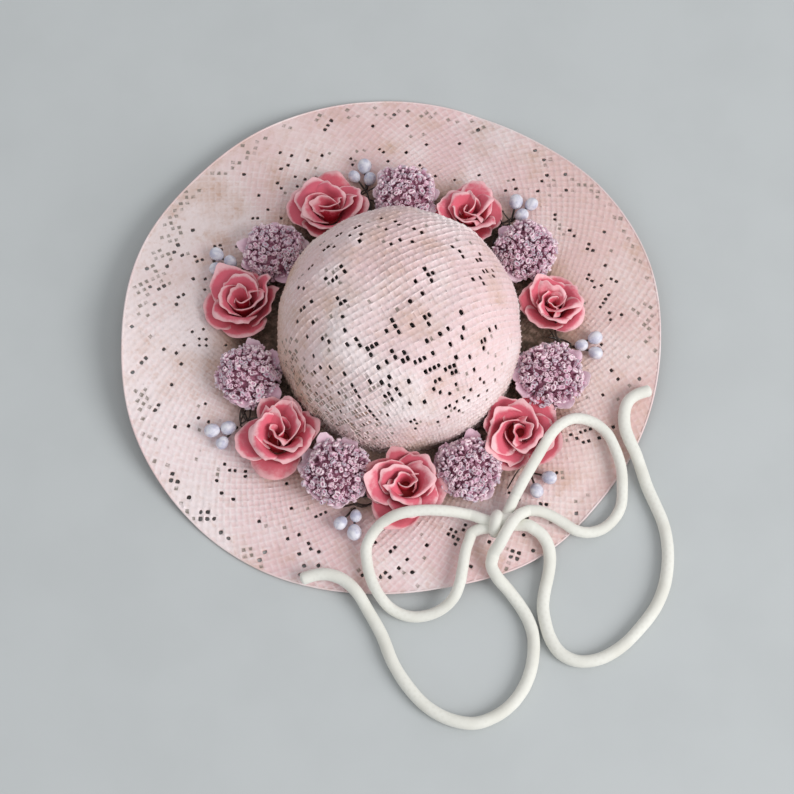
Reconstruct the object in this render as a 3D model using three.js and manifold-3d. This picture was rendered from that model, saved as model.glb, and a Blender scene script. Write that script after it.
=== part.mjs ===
// A small decorative straw hat with a wreath of paper flowers and a cord tied in a bow.
// Millimetres, +Z up. The hat lies on its brim at z = 0, and the origin is under the middle of the brim.
import * as THREE from 'three';
import { mergeVertices } from 'three/addons/utils/BufferGeometryUtils.js';
import Module from 'manifold-3d';

const wasm = await Module();
wasm.setup();

// Hat body
const CLOTH = 1.0; // stiffened open-weave straw cloth
const SEAT_GAP = 0.3; // between pieces that rest on each other
const CROWN_AXIS = { x: 1.81, y: -3.52 }; // the crown stands a little off the middle of the brim
const CROWN_RADIUS = 36.6;
const CROWN_HEIGHT = 38;
const CROWN_FULLNESS = 2.8; // 2 is an ellipse, more is squarer at the shoulder
const CROWN_SIDES = 36;
const CROWN_RINGS = 8;
const HEAD_RADIUS = 35.4; // the opening in the brim
const FOOT_HEIGHT = 5.0; // underside of the brim where the crown stands
const BRIM_CURVE = 1.6; // how late the brim turns towards its edge
const BRIM_SIDES = 54;
const BRIM_RINGS = [0, 0.25, 0.5, 0.72, 0.9, 1];

// The brim's edge, every 20 degrees about the crown's axis: its distance from the axis and the
// height of its underside. Where the height is below zero the cloth lies flat on the surface.
const EDGE_STEP = 20;
const EDGE = [
  { radius: 78.9, lift: 4.0 },
  { radius: 81.1, lift: 4.6 },
  { radius: 81.6, lift: 4.0 },
  { radius: 81.6, lift: 2.2 },
  { radius: 84.0, lift: -1.2 },
  { radius: 85.1, lift: 0.4 },
  { radius: 84.5, lift: 3.4 },
  { radius: 83.7, lift: 4.6 },
  { radius: 83.9, lift: 7.4 },
  { radius: 82.7, lift: 9.4 },
  { radius: 83.5, lift: 5.6 },
  { radius: 82.5, lift: 1.2 },
  { radius: 81.0, lift: -1.2 },
  { radius: 78.4, lift: 0.4 },
  { radius: 77.3, lift: 2.2 },
  { radius: 78.3, lift: 1.4 },
  { radius: 77.0, lift: -1.2 },
  { radius: 77.8, lift: 1.6 },
];

// Paper roses: a bud core, an upright inner whorl and a spread outer whorl of petals.
// Reach and heights are for a rose of size 1, angles in degrees.
const PAPER = 0.9;
const PETALS = [
  { count: 5, root: 2.9, reach: 11.2, low: 1.0, high: 3.0, half: 35, cup: 0.6, bow: 1.4, first: 0 },
  { count: 3, root: 2.3, reach: 6.6, low: 1.6, high: 8.0, half: 56, cup: -0.6, bow: 0.9, first: 20 },
];
const PETAL_COLUMNS = 3;
const PETAL_ROWS = 2;
const PETAL_ROOT_WIDTH = 0.45; // angle a petal takes up at its root, as a share of its full angle
const PETAL_SWELL = 0.85; // below 1 the petal widens early on its way out
const PETAL_ROUNDING = 0.14; // the rim draws in towards a petal's sides
const PETAL_LAP = 0.3; // one side of each petal stands higher than the other
const CROWN_SQUEEZE = 0.2; // petals shorten where they press against the crown
const ROSE_CORE = [
  { radius: 3.2, height: 0 },
  { radius: 4.3, height: 3.0 },
  { radius: 2.6, height: 8.7 },
];
const ROSE_CORE_TOP = 7.9;
const ROSE_CORE_SIDES = 6;
const ROSES = [
  { azimuth: 61.7, radius: 46.4, size: 1.0, turn: 12 },
  { azimuth: 117.4, radius: 49.0, size: 1.04, turn: 40 },
  { azimuth: 168.6, radius: 49.1, size: 0.99, turn: -8 },
  { azimuth: 222.8, radius: 48.2, size: 1.0, turn: 25 },
  { azimuth: 272.2, radius: 47.0, size: 0.97, turn: 55 },
  { azimuth: 319.6, radius: 46.2, size: 0.97, turn: 65 },
  { azimuth: 11.5, radius: 46.9, size: 0.99, turn: 30 },
];

// Stamen flowers: a round head drawn out into tufts.
const POM_PROFILE = [
  { radius: 3.6, height: 0 },
  { radius: 7.7, height: 2.0 },
  { radius: 8.9, height: 4.6 },
  { radius: 8.0, height: 7.3 },
  { radius: 5.3, height: 9.2 },
  { radius: 2.2, height: 10.1 },
];
const POM_TOP = 10.0;
const POM_SIDES = 14;
const POM_TUFT = 0.11; // share of the radius between tuft tips and the gaps between them
const POMS = [
  { azimuth: 35.8, radius: 48.3 },
  { azimuth: 87.7, radius: 47.8 },
  { azimuth: 144.4, radius: 47.2 },
  { azimuth: 196.8, radius: 47.0 },
  { azimuth: 247.3, radius: 47.7 },
  { azimuth: 295.6, radius: 47.9 },
  { azimuth: 343.8, radius: 47.2 },
];

// Bud sprays at the outer side of the wreath, each on short wire stems that meet at one foot.
const BUD_RADIUS = 1.9;
const BUD_STRETCH = 1.12;
const BUD_SPREAD = 2.6; // from the middle of the spray to the middle of a bud
const WIRE_RADIUS = 0.5;
const WIRE_SIDES = 3;
const SPRAY_FOOT = 5.4; // from the foot of the stems out to the middle of the buds
const SPRAYS = [
  { azimuth: 48.8, radius: 58.0, buds: 3, turn: 20 },
  { azimuth: 101.3, radius: 56.4, buds: 3, turn: 80 },
  { azimuth: 155.4, radius: 59.2, buds: 3, turn: 0 },
  { azimuth: 210.4, radius: 60.5, buds: 3, turn: 40 },
  { azimuth: 256.4, radius: 59.6, buds: 3, turn: 55 },
  { azimuth: 312.7, radius: 62.0, buds: 2, turn: 47 },
  { azimuth: 357.5, radius: 57.4, buds: 3, turn: 60 },
];

// The cord: a knot with short arms, and from each arm a loop or a tail. A tail starts at the
// brim's edge and a loop at the knot's arm, and both end at an arm.
const CORD_RADIUS = 1.95;
const CORD_SIDES = 8;
const CORD_STEP = 10; // length of one step along the cord
const KNOT = { x: 30.9, y: -60.8, z: 7.8, wide: 4.4, deep: 4.1, high: 3.2 };
const ROUTES = {
  cord_left_tail: [
    [-25.6, -77.0, 3.4], [-22.6, -76.1, 3.7], [-19.0, -75.9, 4.1], [-14.4, -77.5, 4.3], [-10.3, -81.2, 4.2],
    [-7.0, -86.3, 2.6], [-3.2, -93.1, 2.0], [0.4, -102.0, 2.0], [5.3, -109.5, 2.0], [9.9, -114.2, 2.0],
    [16.0, -117.6, 2.0], [23.0, -118.8, 2.0], [28.8, -116.9, 2.0], [33.3, -113.7, 2.0], [37.0, -108.9, 2.0],
    [39.2, -103.7, 2.0], [40.2, -98.0, 2.0], [40.1, -93.1, 2.0], [38.9, -89.0, 2.0], [36.6, -84.8, 2.2],
    [33.3, -80.6, 3.5], [29.9, -77.0, 5.5], [27.4, -73.2, 6.1], [26.9, -70.3, 6.4],
  ],
  cord_right_tail: [
    [75.9, -20.0, 6.2], [72.4, -21.2, 6.2], [69.8, -23.4, 6.2], [68.6, -26.8, 6.0], [68.6, -31.3, 5.5],
    [69.9, -35.4, 5.0], [71.5, -38.9, 4.3], [73.1, -43.2, 2.7], [74.8, -48.8, 2.0], [76.8, -54.0, 2.0],
    [78.9, -59.9, 2.0], [79.8, -65.7, 2.0], [79.7, -71.7, 2.0], [78.4, -78.6, 2.0], [75.6, -85.0, 2.0],
    [70.6, -91.5, 2.0], [64.9, -97.0, 2.0], [58.6, -100.4, 2.0], [52.4, -100.9, 2.0], [47.8, -98.6, 2.0],
    [45.0, -94.2, 2.0], [43.7, -89.5, 2.0], [43.2, -85.0, 2.0], [43.8, -80.4, 2.0], [44.9, -75.9, 2.4],
    [45.5, -71.3, 3.5], [44.9, -67.4, 4.8], [42.9, -64.3, 5.8], [40.1, -62.5, 6.6],
  ],
  cord_left_loop: [
    [21.9, -59.4, 8.8], [18.2, -59.1, 10.2], [14.4, -59.1, 11.5], [9.9, -59.2, 12.3], [5.0, -59.7, 12.4],
    [1.3, -60.5, 12.0], [-2.3, -61.9, 10.1], [-5.5, -64.6, 7.8], [-7.5, -68.5, 6.5], [-7.3, -73.0, 5.8],
    [-6.1, -77.8, 5.3], [-3.7, -82.4, 4.6], [-0.4, -85.8, 2.9], [4.4, -87.8, 2.1], [9.1, -87.8, 2.2],
    [13.9, -86.2, 3.2], [17.5, -83.2, 5.2], [19.3, -79.1, 6.3], [20.1, -75.0, 6.6], [21.1, -69.5, 6.9],
    [22.6, -65.2, 7.2],
  ],
  cord_right_loop: [
    [35.8, -53.2, 8.8], [37.1, -51.0, 10.0], [39.0, -47.8, 11.3], [42.2, -42.5, 12.5], [45.4, -37.1, 12.5],
    [49.2, -32.5, 11.2], [53.7, -29.8, 9.0], [58.9, -30.3, 7.3], [63.1, -33.4, 6.2], [65.5, -38.1, 5.3],
    [67.1, -43.5, 4.2], [67.4, -49.2, 2.7], [66.8, -54.6, 2.0], [64.6, -58.6, 2.0], [61.3, -61.5, 2.0],
    [57.2, -62.9, 2.6], [53.1, -62.6, 3.9], [49.6, -60.6, 4.8], [45.5, -58.5, 5.8], [42.2, -57.6, 6.8],
    [39.4, -57.7, 7.2],
  ],
};

// Finishes
const FINISH = {
  straw: new THREE.MeshStandardMaterial({ color: 0xe3c6c2, roughness: 0.75, metalness: 0 }),
  rose: new THREE.MeshStandardMaterial({ color: 0xc8506a, roughness: 0.8, metalness: 0 }),
  pom: new THREE.MeshStandardMaterial({ color: 0xa58aa8, roughness: 0.85, metalness: 0 }),
  bud: new THREE.MeshStandardMaterial({ color: 0xb4c0da, roughness: 0.7, metalness: 0 }),
  cord: new THREE.MeshStandardMaterial({ color: 0xeee9df, roughness: 0.9, metalness: 0 }),
};

const radians = THREE.MathUtils.degToRad;

// Smooth value of one column of the edge table at any azimuth, by a closed Catmull-Rom curve.
function edgeValue(column, azimuth) {
  const turned = THREE.MathUtils.euclideanModulo(azimuth, 360) / EDGE_STEP;
  const row = Math.floor(turned) % EDGE.length;
  const t = turned - Math.floor(turned);
  const [a, b, c, d] = [-1, 0, 1, 2].map((k) => EDGE[(row + k + EDGE.length) % EDGE.length][column]);
  const slope = c - a;
  const bend = 2 * a - 5 * b + 4 * c - d;
  const twist = 3 * b - a - 3 * c + d;
  return b + 0.5 * t * (slope + t * (bend + t * twist));
}

// Height of the brim's underside at a share of the way from the head opening to the edge.
function brimHeight(azimuth, share) {
  const drop = (edgeValue('lift', azimuth) - FOOT_HEIGHT) * Math.max(share, 0) ** BRIM_CURVE;
  return Math.max(FOOT_HEIGHT + drop, 0);
}

// Height of the brim's upper side under a point given about the crown's axis.
function brimTop(x, y) {
  const azimuth = THREE.MathUtils.radToDeg(Math.atan2(y, x));
  const share = (Math.hypot(x, y) - HEAD_RADIUS) / (edgeValue('radius', azimuth) - HEAD_RADIUS);
  return brimHeight(azimuth, share) + CLOTH;
}

// Highest point of the brim under a round foot.
function seat(x, y, foot) {
  const angles = [0, 45, 90, 135, 180, 225, 270, 315].map(radians);
  const heights = angles.map((a) => brimTop(x + foot * Math.cos(a), y + foot * Math.sin(a)));
  return Math.max(brimTop(x, y), ...heights) + SEAT_GAP;
}

// Place at an azimuth and a distance, about the crown's axis.
function polar(azimuth, radius) {
  const a = radians(azimuth);
  return { x: radius * Math.cos(a), y: radius * Math.sin(a) };
}

// A closed sheet between an upper and a lower grid of points. It runs round if wrap is set.
function sheet(columns, rows, wrap, upper, lower) {
  const across = wrap ? columns : columns + 1;
  const points = [];
  for (const side of [upper, lower]) {
    for (let j = 0; j <= rows; j += 1) {
      for (let i = 0; i < across; i += 1) {
        points.push(...side(i, j));
      }
    }
  }
  const half = across * (rows + 1);
  const at = (side, i, j) => side * half + j * across + (i % across);
  const faces = [];
  const quad = (a, b, c, d) => faces.push(a, b, c, a, c, d);
  for (let j = 0; j < rows; j += 1) {
    for (let i = 0; i < columns; i += 1) {
      quad(at(0, i, j), at(0, i + 1, j), at(0, i + 1, j + 1), at(0, i, j + 1));
      quad(at(1, i, j), at(1, i, j + 1), at(1, i + 1, j + 1), at(1, i + 1, j));
    }
  }
  for (let i = 0; i < columns; i += 1) {
    quad(at(0, i + 1, 0), at(0, i, 0), at(1, i, 0), at(1, i + 1, 0));
    quad(at(0, i, rows), at(0, i + 1, rows), at(1, i + 1, rows), at(1, i, rows));
  }
  if (!wrap) {
    for (let j = 0; j < rows; j += 1) {
      quad(at(0, 0, j), at(0, 0, j + 1), at(1, 0, j + 1), at(1, 0, j));
      quad(at(0, columns, j + 1), at(0, columns, j), at(1, columns, j), at(1, columns, j + 1));
    }
  }
  const geometry = new THREE.BufferGeometry();
  geometry.setAttribute('position', new THREE.Float32BufferAttribute(points, 3));
  geometry.setIndex(faces);
  return geometry;
}

// A closed mesh as a solid for joining. Its faces are turned outwards first if they point in.
function solid(geometry) {
  const bare = geometry.clone();
  bare.deleteAttribute('normal');
  bare.deleteAttribute('uv');
  const merged = mergeVertices(bare, 1e-5);
  const points = merged.attributes.position;
  const faces = Uint32Array.from(merged.index.array);
  const kept = [];
  let volume = 0;
  const corner = [new THREE.Vector3(), new THREE.Vector3(), new THREE.Vector3()];
  for (let f = 0; f < faces.length; f += 3) {
    const [a, b, c] = faces.subarray(f, f + 3);
    if (a !== b && b !== c && c !== a) {
      kept.push(a, b, c);
      corner.forEach((v, k) => v.fromBufferAttribute(points, faces[f + k]));
      volume += corner[0].dot(corner[1].cross(corner[2]));
    }
  }
  if (volume < 0) {
    kept.reverse();
  }
  return new wasm.Manifold(new wasm.Mesh({
    numProp: 3,
    vertProperties: Float32Array.from(points.array),
    triVerts: Uint32Array.from(kept),
  }));
}

// The faces of a solid as a geometry.
function surface(body) {
  const mesh = body.getMesh();
  const geometry = new THREE.BufferGeometry();
  geometry.setAttribute('position', new THREE.Float32BufferAttribute(mesh.vertProperties, 3));
  geometry.setIndex(Array.from(mesh.triVerts));
  return geometry;
}

// Several closed geometries joined into one.
function fuse(geometries) {
  return surface(geometries.map(solid).reduce((whole, piece) => whole.add(piece)));
}

// A round body about the Z axis. The profile starts and ends on the axis.
function turned(profile, sides) {
  const outline = profile.map(([radius, height]) => new THREE.Vector2(radius, height));
  const geometry = new THREE.LatheGeometry(outline, sides);
  return surface(solid(geometry.rotateX(Math.PI / 2)));
}

// Dome of stiffened cloth: a superellipse outside, the same drawn in by the cloth inside.
function crownGeometry() {
  const arc = (radius, height, share) => {
    const angle = share * Math.PI / 2;
    const r = radius * Math.cos(angle) ** (2 / CROWN_FULLNESS);
    const z = height * Math.sin(angle) ** (2 / CROWN_FULLNESS);
    return [share === 1 ? 0 : r, z];
  };
  const shares = Array.from({ length: CROWN_RINGS + 1 }, (_, k) => k / CROWN_RINGS);
  const outside = shares.map((s) => arc(CROWN_RADIUS, CROWN_HEIGHT, s)).reverse();
  const inside = shares.map((s) => arc(CROWN_RADIUS - CLOTH, CROWN_HEIGHT - CLOTH, s));
  return turned([...outside, ...inside], CROWN_SIDES);
}

// Wavy brim, from the head opening to the edge.
function brimGeometry() {
  const face = (thickness) => (i, j) => {
    const azimuth = i * 360 / BRIM_SIDES;
    const share = BRIM_RINGS[j];
    const radius = HEAD_RADIUS + (edgeValue('radius', azimuth) - HEAD_RADIUS) * share;
    const { x, y } = polar(azimuth, radius);
    return [x, y, brimHeight(azimuth, share) + thickness];
  };
  const geometry = sheet(BRIM_SIDES, BRIM_RINGS.length - 1, true, face(CLOTH), face(0));
  return surface(solid(geometry));
}

// One petal of a whorl, bowed up from the core and cupped across. The crown lies towards -X.
function petalGeometry(whorl, size, turn, index) {
  const middle = turn + whorl.first + index * 360 / whorl.count;
  const point = (u, v) => {
    const width = PETAL_ROOT_WIDTH + (1 - PETAL_ROOT_WIDTH) * v;
    const angle = radians(middle + whorl.half * u * width);
    const pressed = 1 - CROWN_SQUEEZE * Math.max(-Math.cos(angle), 0);
    const reach = whorl.reach * size * pressed * (1 - PETAL_ROUNDING * u * u);
    const radius = whorl.root + (reach - whorl.root) * v ** PETAL_SWELL;
    const rise = (whorl.high * size - whorl.low) * v ** whorl.bow;
    const height = whorl.low + rise + whorl.cup * u * u * v + PETAL_LAP * u * v;
    return new THREE.Vector3(radius * Math.cos(angle), radius * Math.sin(angle), height);
  };
  const small = 0.02;
  const upper = (i, j) => {
    const u = 2 * i / PETAL_COLUMNS - 1;
    const v = j / PETAL_ROWS;
    return point(u, v).toArray();
  };
  const lower = (i, j) => {
    const u = 2 * i / PETAL_COLUMNS - 1;
    const v = Math.max(j / PETAL_ROWS, small);
    const along = point(u, v + small).sub(point(u, v - small));
    const across = point(u + small, v).sub(point(u - small, v));
    const normal = across.cross(along).normalize();
    const shifted = point(u, j / PETAL_ROWS).addScaledVector(normal, PAPER);
    return [shifted.x, shifted.y, Math.max(shifted.z, 0)];
  };
  return sheet(PETAL_COLUMNS, PETAL_ROWS, false, upper, lower);
}

function roseGeometry(size, turn) {
  const profile = ROSE_CORE.map(({ radius, height }) => [radius, height]);
  const core = turned([[0, 0], ...profile, [0, ROSE_CORE_TOP]], ROSE_CORE_SIDES);
  const petals = PETALS.flatMap((whorl) => Array.from(
    { length: whorl.count },
    (_, index) => petalGeometry(whorl, size, turn, index),
  ));
  return fuse([core, ...petals]);
}

// Round head whose surface stands out in tufts: every second point is a tip.
function pomGeometry() {
  const points = [];
  POM_PROFILE.forEach(({ radius, height }, j) => {
    for (let i = 0; i < POM_SIDES; i += 1) {
      const angle = (i + (j % 2) * 0.5) * 2 * Math.PI / POM_SIDES;
      const tip = (i + j) % 2 === 0 ? 1 : 1 - POM_TUFT;
      const r = j === 0 ? radius : radius * tip;
      points.push(r * Math.cos(angle), r * Math.sin(angle), height);
    }
  });
  const base = points.length / 3;
  const top = base + 1;
  points.push(0, 0, 0, 0, 0, POM_TOP);
  const faces = [];
  const last = POM_PROFILE.length - 1;
  for (let i = 0; i < POM_SIDES; i += 1) {
    const next = (i + 1) % POM_SIDES;
    faces.push(base, next, i);
    faces.push(top, last * POM_SIDES + i, last * POM_SIDES + next);
    for (let j = 0; j < last; j += 1) {
      const low = j * POM_SIDES;
      const high = low + POM_SIDES;
      faces.push(low + i, low + next, high + next, low + i, high + next, high + i);
    }
  }
  const geometry = new THREE.BufferGeometry();
  geometry.setAttribute('position', new THREE.Float32BufferAttribute(points, 3));
  geometry.setIndex(faces);
  return surface(solid(geometry));
}

// A round section carried along a smooth line through the points.
function tubeGeometry(points, radius, sides, steps) {
  const section = new THREE.Shape(Array.from({ length: sides }, (_, k) => {
    const angle = (k + 0.5) * 2 * Math.PI / sides;
    return new THREE.Vector2(radius * Math.cos(angle), radius * Math.sin(angle));
  }));
  const path = new THREE.CatmullRomCurve3(points.map((p) => new THREE.Vector3(...p)), false, 'centripetal');
  return new THREE.ExtrudeGeometry(section, { steps, extrudePath: path });
}

// Buds on wires that fan out from one foot. Heights are above the foot.
function sprayGeometry(spray) {
  const middle = polar(spray.azimuth, spray.radius);
  const foot = polar(spray.azimuth, spray.radius - SPRAY_FOOT);
  const base = seat(foot.x, foot.y, WIRE_RADIUS) + WIRE_RADIUS;
  const pieces = [];
  for (let k = 0; k < spray.buds; k += 1) {
    const spread = polar(spray.turn + k * 360 / spray.buds, BUD_SPREAD);
    const x = middle.x + spread.x;
    const y = middle.y + spread.y;
    const z = seat(x, y, BUD_RADIUS) + BUD_RADIUS;
    const outwards = Math.atan2(y - foot.y, x - foot.x);
    const bud = new THREE.SphereGeometry(BUD_RADIUS, 6, 4);
    bud.rotateX(Math.PI / 2).scale(BUD_STRETCH, 1, 1).rotateZ(outwards).translate(x, y, z);
    pieces.push(tubeGeometry([[foot.x, foot.y, base], [x, y, z]], WIRE_RADIUS, WIRE_SIDES, 1), bud);
  }
  return fuse(pieces);
}

// Tangent of a route at its knot end, pointing into the knot.
function armEnd(route, atStart) {
  const tip = new THREE.Vector3(...(atStart ? route[0] : route.at(-1)));
  const before = new THREE.Vector3(...(atStart ? route[1] : route.at(-2)));
  return { tip, inwards: tip.clone().sub(before).normalize() };
}

// The knot: a lump with one short arm for each strand. An arm stops just short of its strand.
function knotGeometry() {
  const lump = new THREE.SphereGeometry(1, 8, 6);
  lump.rotateX(Math.PI / 2).scale(KNOT.wide, KNOT.deep, KNOT.high).translate(KNOT.x, KNOT.y, KNOT.z);
  const ends = [
    armEnd(ROUTES.cord_left_tail, false),
    armEnd(ROUTES.cord_right_tail, false),
    armEnd(ROUTES.cord_left_loop, true),
    armEnd(ROUTES.cord_left_loop, false),
    armEnd(ROUTES.cord_right_loop, true),
    armEnd(ROUTES.cord_right_loop, false),
  ];
  const arms = ends.map(({ tip, inwards }) => {
    const start = tip.clone().addScaledVector(inwards, SEAT_GAP);
    const second = tip.clone().addScaledVector(inwards, CORD_RADIUS);
    return tubeGeometry([start.toArray(), second.toArray(), [KNOT.x, KNOT.y, KNOT.z]], CORD_RADIUS, CORD_SIDES, 2);
  });
  return fuse([lump, ...arms]);
}

function cordGeometry(route) {
  const points = route.map((p) => new THREE.Vector3(...p));
  const length = new THREE.CatmullRomCurve3(points, false, 'centripetal').getLength();
  return surface(solid(tubeGeometry(route, CORD_RADIUS, CORD_SIDES, Math.round(length / CORD_STEP))));
}

function part(name, geometry, material, place = [0, 0, 0], turn = 0) {
  const mesh = new THREE.Mesh(geometry, material);
  mesh.name = name;
  mesh.position.set(...place);
  mesh.rotation.z = turn;
  return mesh;
}

// Everything that stands round the crown is placed about its axis.
const aboutCrown = new THREE.Group();
aboutCrown.position.set(CROWN_AXIS.x, CROWN_AXIS.y, 0);
aboutCrown.add(part('crown', crownGeometry(), FINISH.straw, [0, 0, FOOT_HEIGHT + CLOTH + SEAT_GAP]));
aboutCrown.add(part('brim', brimGeometry(), FINISH.straw));

ROSES.forEach(({ azimuth, radius, size, turn }, index) => {
  const { x, y } = polar(azimuth, radius);
  const z = seat(x, y, ROSE_CORE[1].radius);
  aboutCrown.add(part(`rose_${index + 1}`, roseGeometry(size, turn), FINISH.rose, [x, y, z], radians(azimuth)));
});

POMS.forEach(({ azimuth, radius }, index) => {
  const { x, y } = polar(azimuth, radius);
  const z = seat(x, y, POM_PROFILE[0].radius);
  aboutCrown.add(part(`pom_${index + 1}`, pomGeometry(), FINISH.pom, [x, y, z], radians(azimuth)));
});

SPRAYS.forEach((spray, index) => {
  aboutCrown.add(part(`buds_${index + 1}`, sprayGeometry(spray), FINISH.bud));
});

const hat = new THREE.Group();
hat.add(aboutCrown);
Object.entries(ROUTES).forEach(([name, route]) => hat.add(part(name, cordGeometry(route), FINISH.cord)));
hat.add(part('cord_knot', knotGeometry(), FINISH.cord));

export default hat;
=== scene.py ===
"""A small straw hat with a wreath of paper flowers, and a soft cord tied in a bow.

Everything is in metres, +Z up, in the frame of the packed model. Azimuths are in degrees about the
crown's axis, from +X towards +Y.
"""

import math
from collections import namedtuple

import bpy
import numpy as np
from bpy.props import FloatProperty, FloatVectorProperty, IntProperty, PointerProperty
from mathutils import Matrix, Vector


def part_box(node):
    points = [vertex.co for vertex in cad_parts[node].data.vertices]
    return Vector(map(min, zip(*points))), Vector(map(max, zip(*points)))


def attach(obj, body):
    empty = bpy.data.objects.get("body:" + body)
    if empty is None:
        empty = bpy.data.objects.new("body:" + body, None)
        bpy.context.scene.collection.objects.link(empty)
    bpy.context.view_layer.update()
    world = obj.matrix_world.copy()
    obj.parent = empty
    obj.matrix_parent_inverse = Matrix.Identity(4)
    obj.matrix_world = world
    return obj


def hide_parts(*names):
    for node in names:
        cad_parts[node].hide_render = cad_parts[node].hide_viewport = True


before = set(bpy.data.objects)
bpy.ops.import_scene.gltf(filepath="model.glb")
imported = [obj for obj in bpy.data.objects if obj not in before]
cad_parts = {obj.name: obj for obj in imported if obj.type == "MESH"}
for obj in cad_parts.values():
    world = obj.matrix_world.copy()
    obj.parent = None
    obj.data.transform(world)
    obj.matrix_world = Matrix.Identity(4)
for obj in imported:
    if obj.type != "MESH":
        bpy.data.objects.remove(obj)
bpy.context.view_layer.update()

bl_info = {
    "name": "Straw hat with a flower wreath",
    "version": (1, 0, 0),
    "blender": (4, 5, 0),
    "location": "View3D > Sidebar > Straw Hat",
    "description": "Open-weave crown and brim, paper roses, stamen flowers, buds and a bow of soft cord",
    "category": "Add Mesh",
}

BODY = "root"
MM = 0.001

# The crown's place and size, from the frame.
CROWN_LOW, CROWN_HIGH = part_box("crown")
AXIS = np.array([(CROWN_LOW.x + CROWN_HIGH.x) / 2, (CROWN_LOW.y + CROWN_HIGH.y) / 2])
CROWN_RADIUS = (CROWN_HIGH.x - CROWN_LOW.x) / 2
CROWN_HEIGHT = CROWN_HIGH.z - CROWN_LOW.z
CROWN_FULLNESS = 2.8  # 2 is an ellipse, more is squarer at the shoulder

# The brim, from the head opening out to its wavy edge. Each row of the edge is 20 degrees on from
# the last: its distance from the crown's axis and the height of its underside.
HEAD_RADIUS = 35.4 * MM
FOOT_HEIGHT = 5.0 * MM
BRIM_CURVE = 1.6
BRIM_CLOTH = 1.0 * MM
BRIM_SPLIT = 57 * MM  # between the inner and the outer weave
BRIM_CELL = 1.9 * MM  # width of a cell near the edge
EdgeRow = namedtuple("EdgeRow", "radius lift")
EDGE_STEP = 20.0
EDGE = [
    EdgeRow(78.9, 4.0), EdgeRow(81.1, 4.6), EdgeRow(81.6, 4.0), EdgeRow(81.6, 2.2), EdgeRow(84.0, -1.2),
    EdgeRow(85.1, 0.4), EdgeRow(84.5, 3.4), EdgeRow(83.7, 4.6), EdgeRow(83.9, 7.4), EdgeRow(82.7, 9.4),
    EdgeRow(83.5, 5.6), EdgeRow(82.5, 1.2), EdgeRow(81.0, -1.2), EdgeRow(78.4, 0.4), EdgeRow(77.3, 2.2),
    EdgeRow(78.3, 1.4), EdgeRow(77.0, -1.2), EdgeRow(77.8, 1.6),
]

# Directions, in degrees, of what isn't the same all round: the front with least glue and painted shade
# between the flowers, the crown's left wall, browner with worn paint and painted shade on its side away
# from the light, its loose threads, and the thickest paint on the brim, where the crown's shadow falls
# and some painted shade is added.
FRONT_AZIMUTH = 252
WORN_AND_SHADED_AZIMUTH = 172
LOOSE_AZIMUTH = 228
THICK_AZIMUTH = 128

# How unevenly the loose threads stand, how high the brim's small waves are, and the least height of
# the underside over the floor.
LOOSE_HEIGHT = 0.14 * MM
SWELL_HEIGHT = 0.12 * MM
FLOOR_GAP = 0.02 * MM

# Weaving charts. On the crown each row of the weave lists the places along it of its open holes, and
# of the holes under a thin film of paint. On the brim a row is a ring of cells, counted from the head.
CROWN_HOLES = {
    -22: (-6, -3, 0), -21: (-12, -1, 3, 6, 9), -20: (-11, -3, -2, 0, 2, 12), -19: (-26, -12, -11, 4, 8),
    -18: (-1, 7), -17: (-7, -3, 1), -16: (-23, -19, -16, -10, -4, 6), -15: (-19, -3, -2, 1, 2),
    -14: (-37, -32, -19, -13, -11, 0, 1, 2, 6, 10), -13: (-19, -14, -13, -11, -8, -4, -3, -2, -1, 3, 10, 11),
    -12: (-34, -26, -12, 13, 15), -11: (-19, -13, -11, -5, -4, -3, -1, 3, 6), -10: (-19, -15, -7, -6, 7),
    -9: (-23, -19, -12, -10, -8, -6, -1, 2, 4), -8: (-8, 8), -7: (-29, -19, -12, 1),
    -6: (-23, -12, -11, -10, -5, -2, 1, 2), -5: (-21, -13, -7, -5, 16),
    -4: (-31, -25, -23, -15, -13, -5, 14, 16, 20), -3: (0, 3, 18, 19, 21), -2: (-23, -18, -14, 6),
    -1: (-32, -19, 3, 6, 7, 18, 19), 0: (-31, -13, 6, 15, 20), 1: (-31, -30, -22, 15),
    2: (-19, -12, -11, 14),
    3: (-12,), 4: (-22,), 5: (-20, -19, -17, 7), 6: (-11, -10, -8, 3, 5, 10), 7: (-12, -8, 9), 8: (-17,),
    9: (-18, -2, 4, 7), 10: (-1, 7), 11: (-14, -13, -7, -3), 12: (-9, -8, -1, 0, 5), 13: (-5, -4),
}
CROWN_FILM = {
    -23: (-6, 1), -21: (-2,), -20: (-10,), -18: (-14, -13, 1, 12, 15), -17: (-20, 10),
    -16: (-24, -21, -12, 4, 13, 18), -15: (-17, 11, 20), -14: (-29, -27, -25, -15, -14), -13: (13,),
    -12: (-21, -14), -11: (-27, -24, -21, -16, -15, -14), -10: (-29,), -9: (-29, -26, -15, 0), -3: (-3, 14),
    1: (-15, -11), 2: (-18,), 3: (16,), 4: (-28,), 5: (-30, -10), 6: (-12,), 7: (-10, -9), 8: (-11,),
    11: (-17, -16), 12: (-7, 2), 14: (-8,), 16: (-11,),
}
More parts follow.
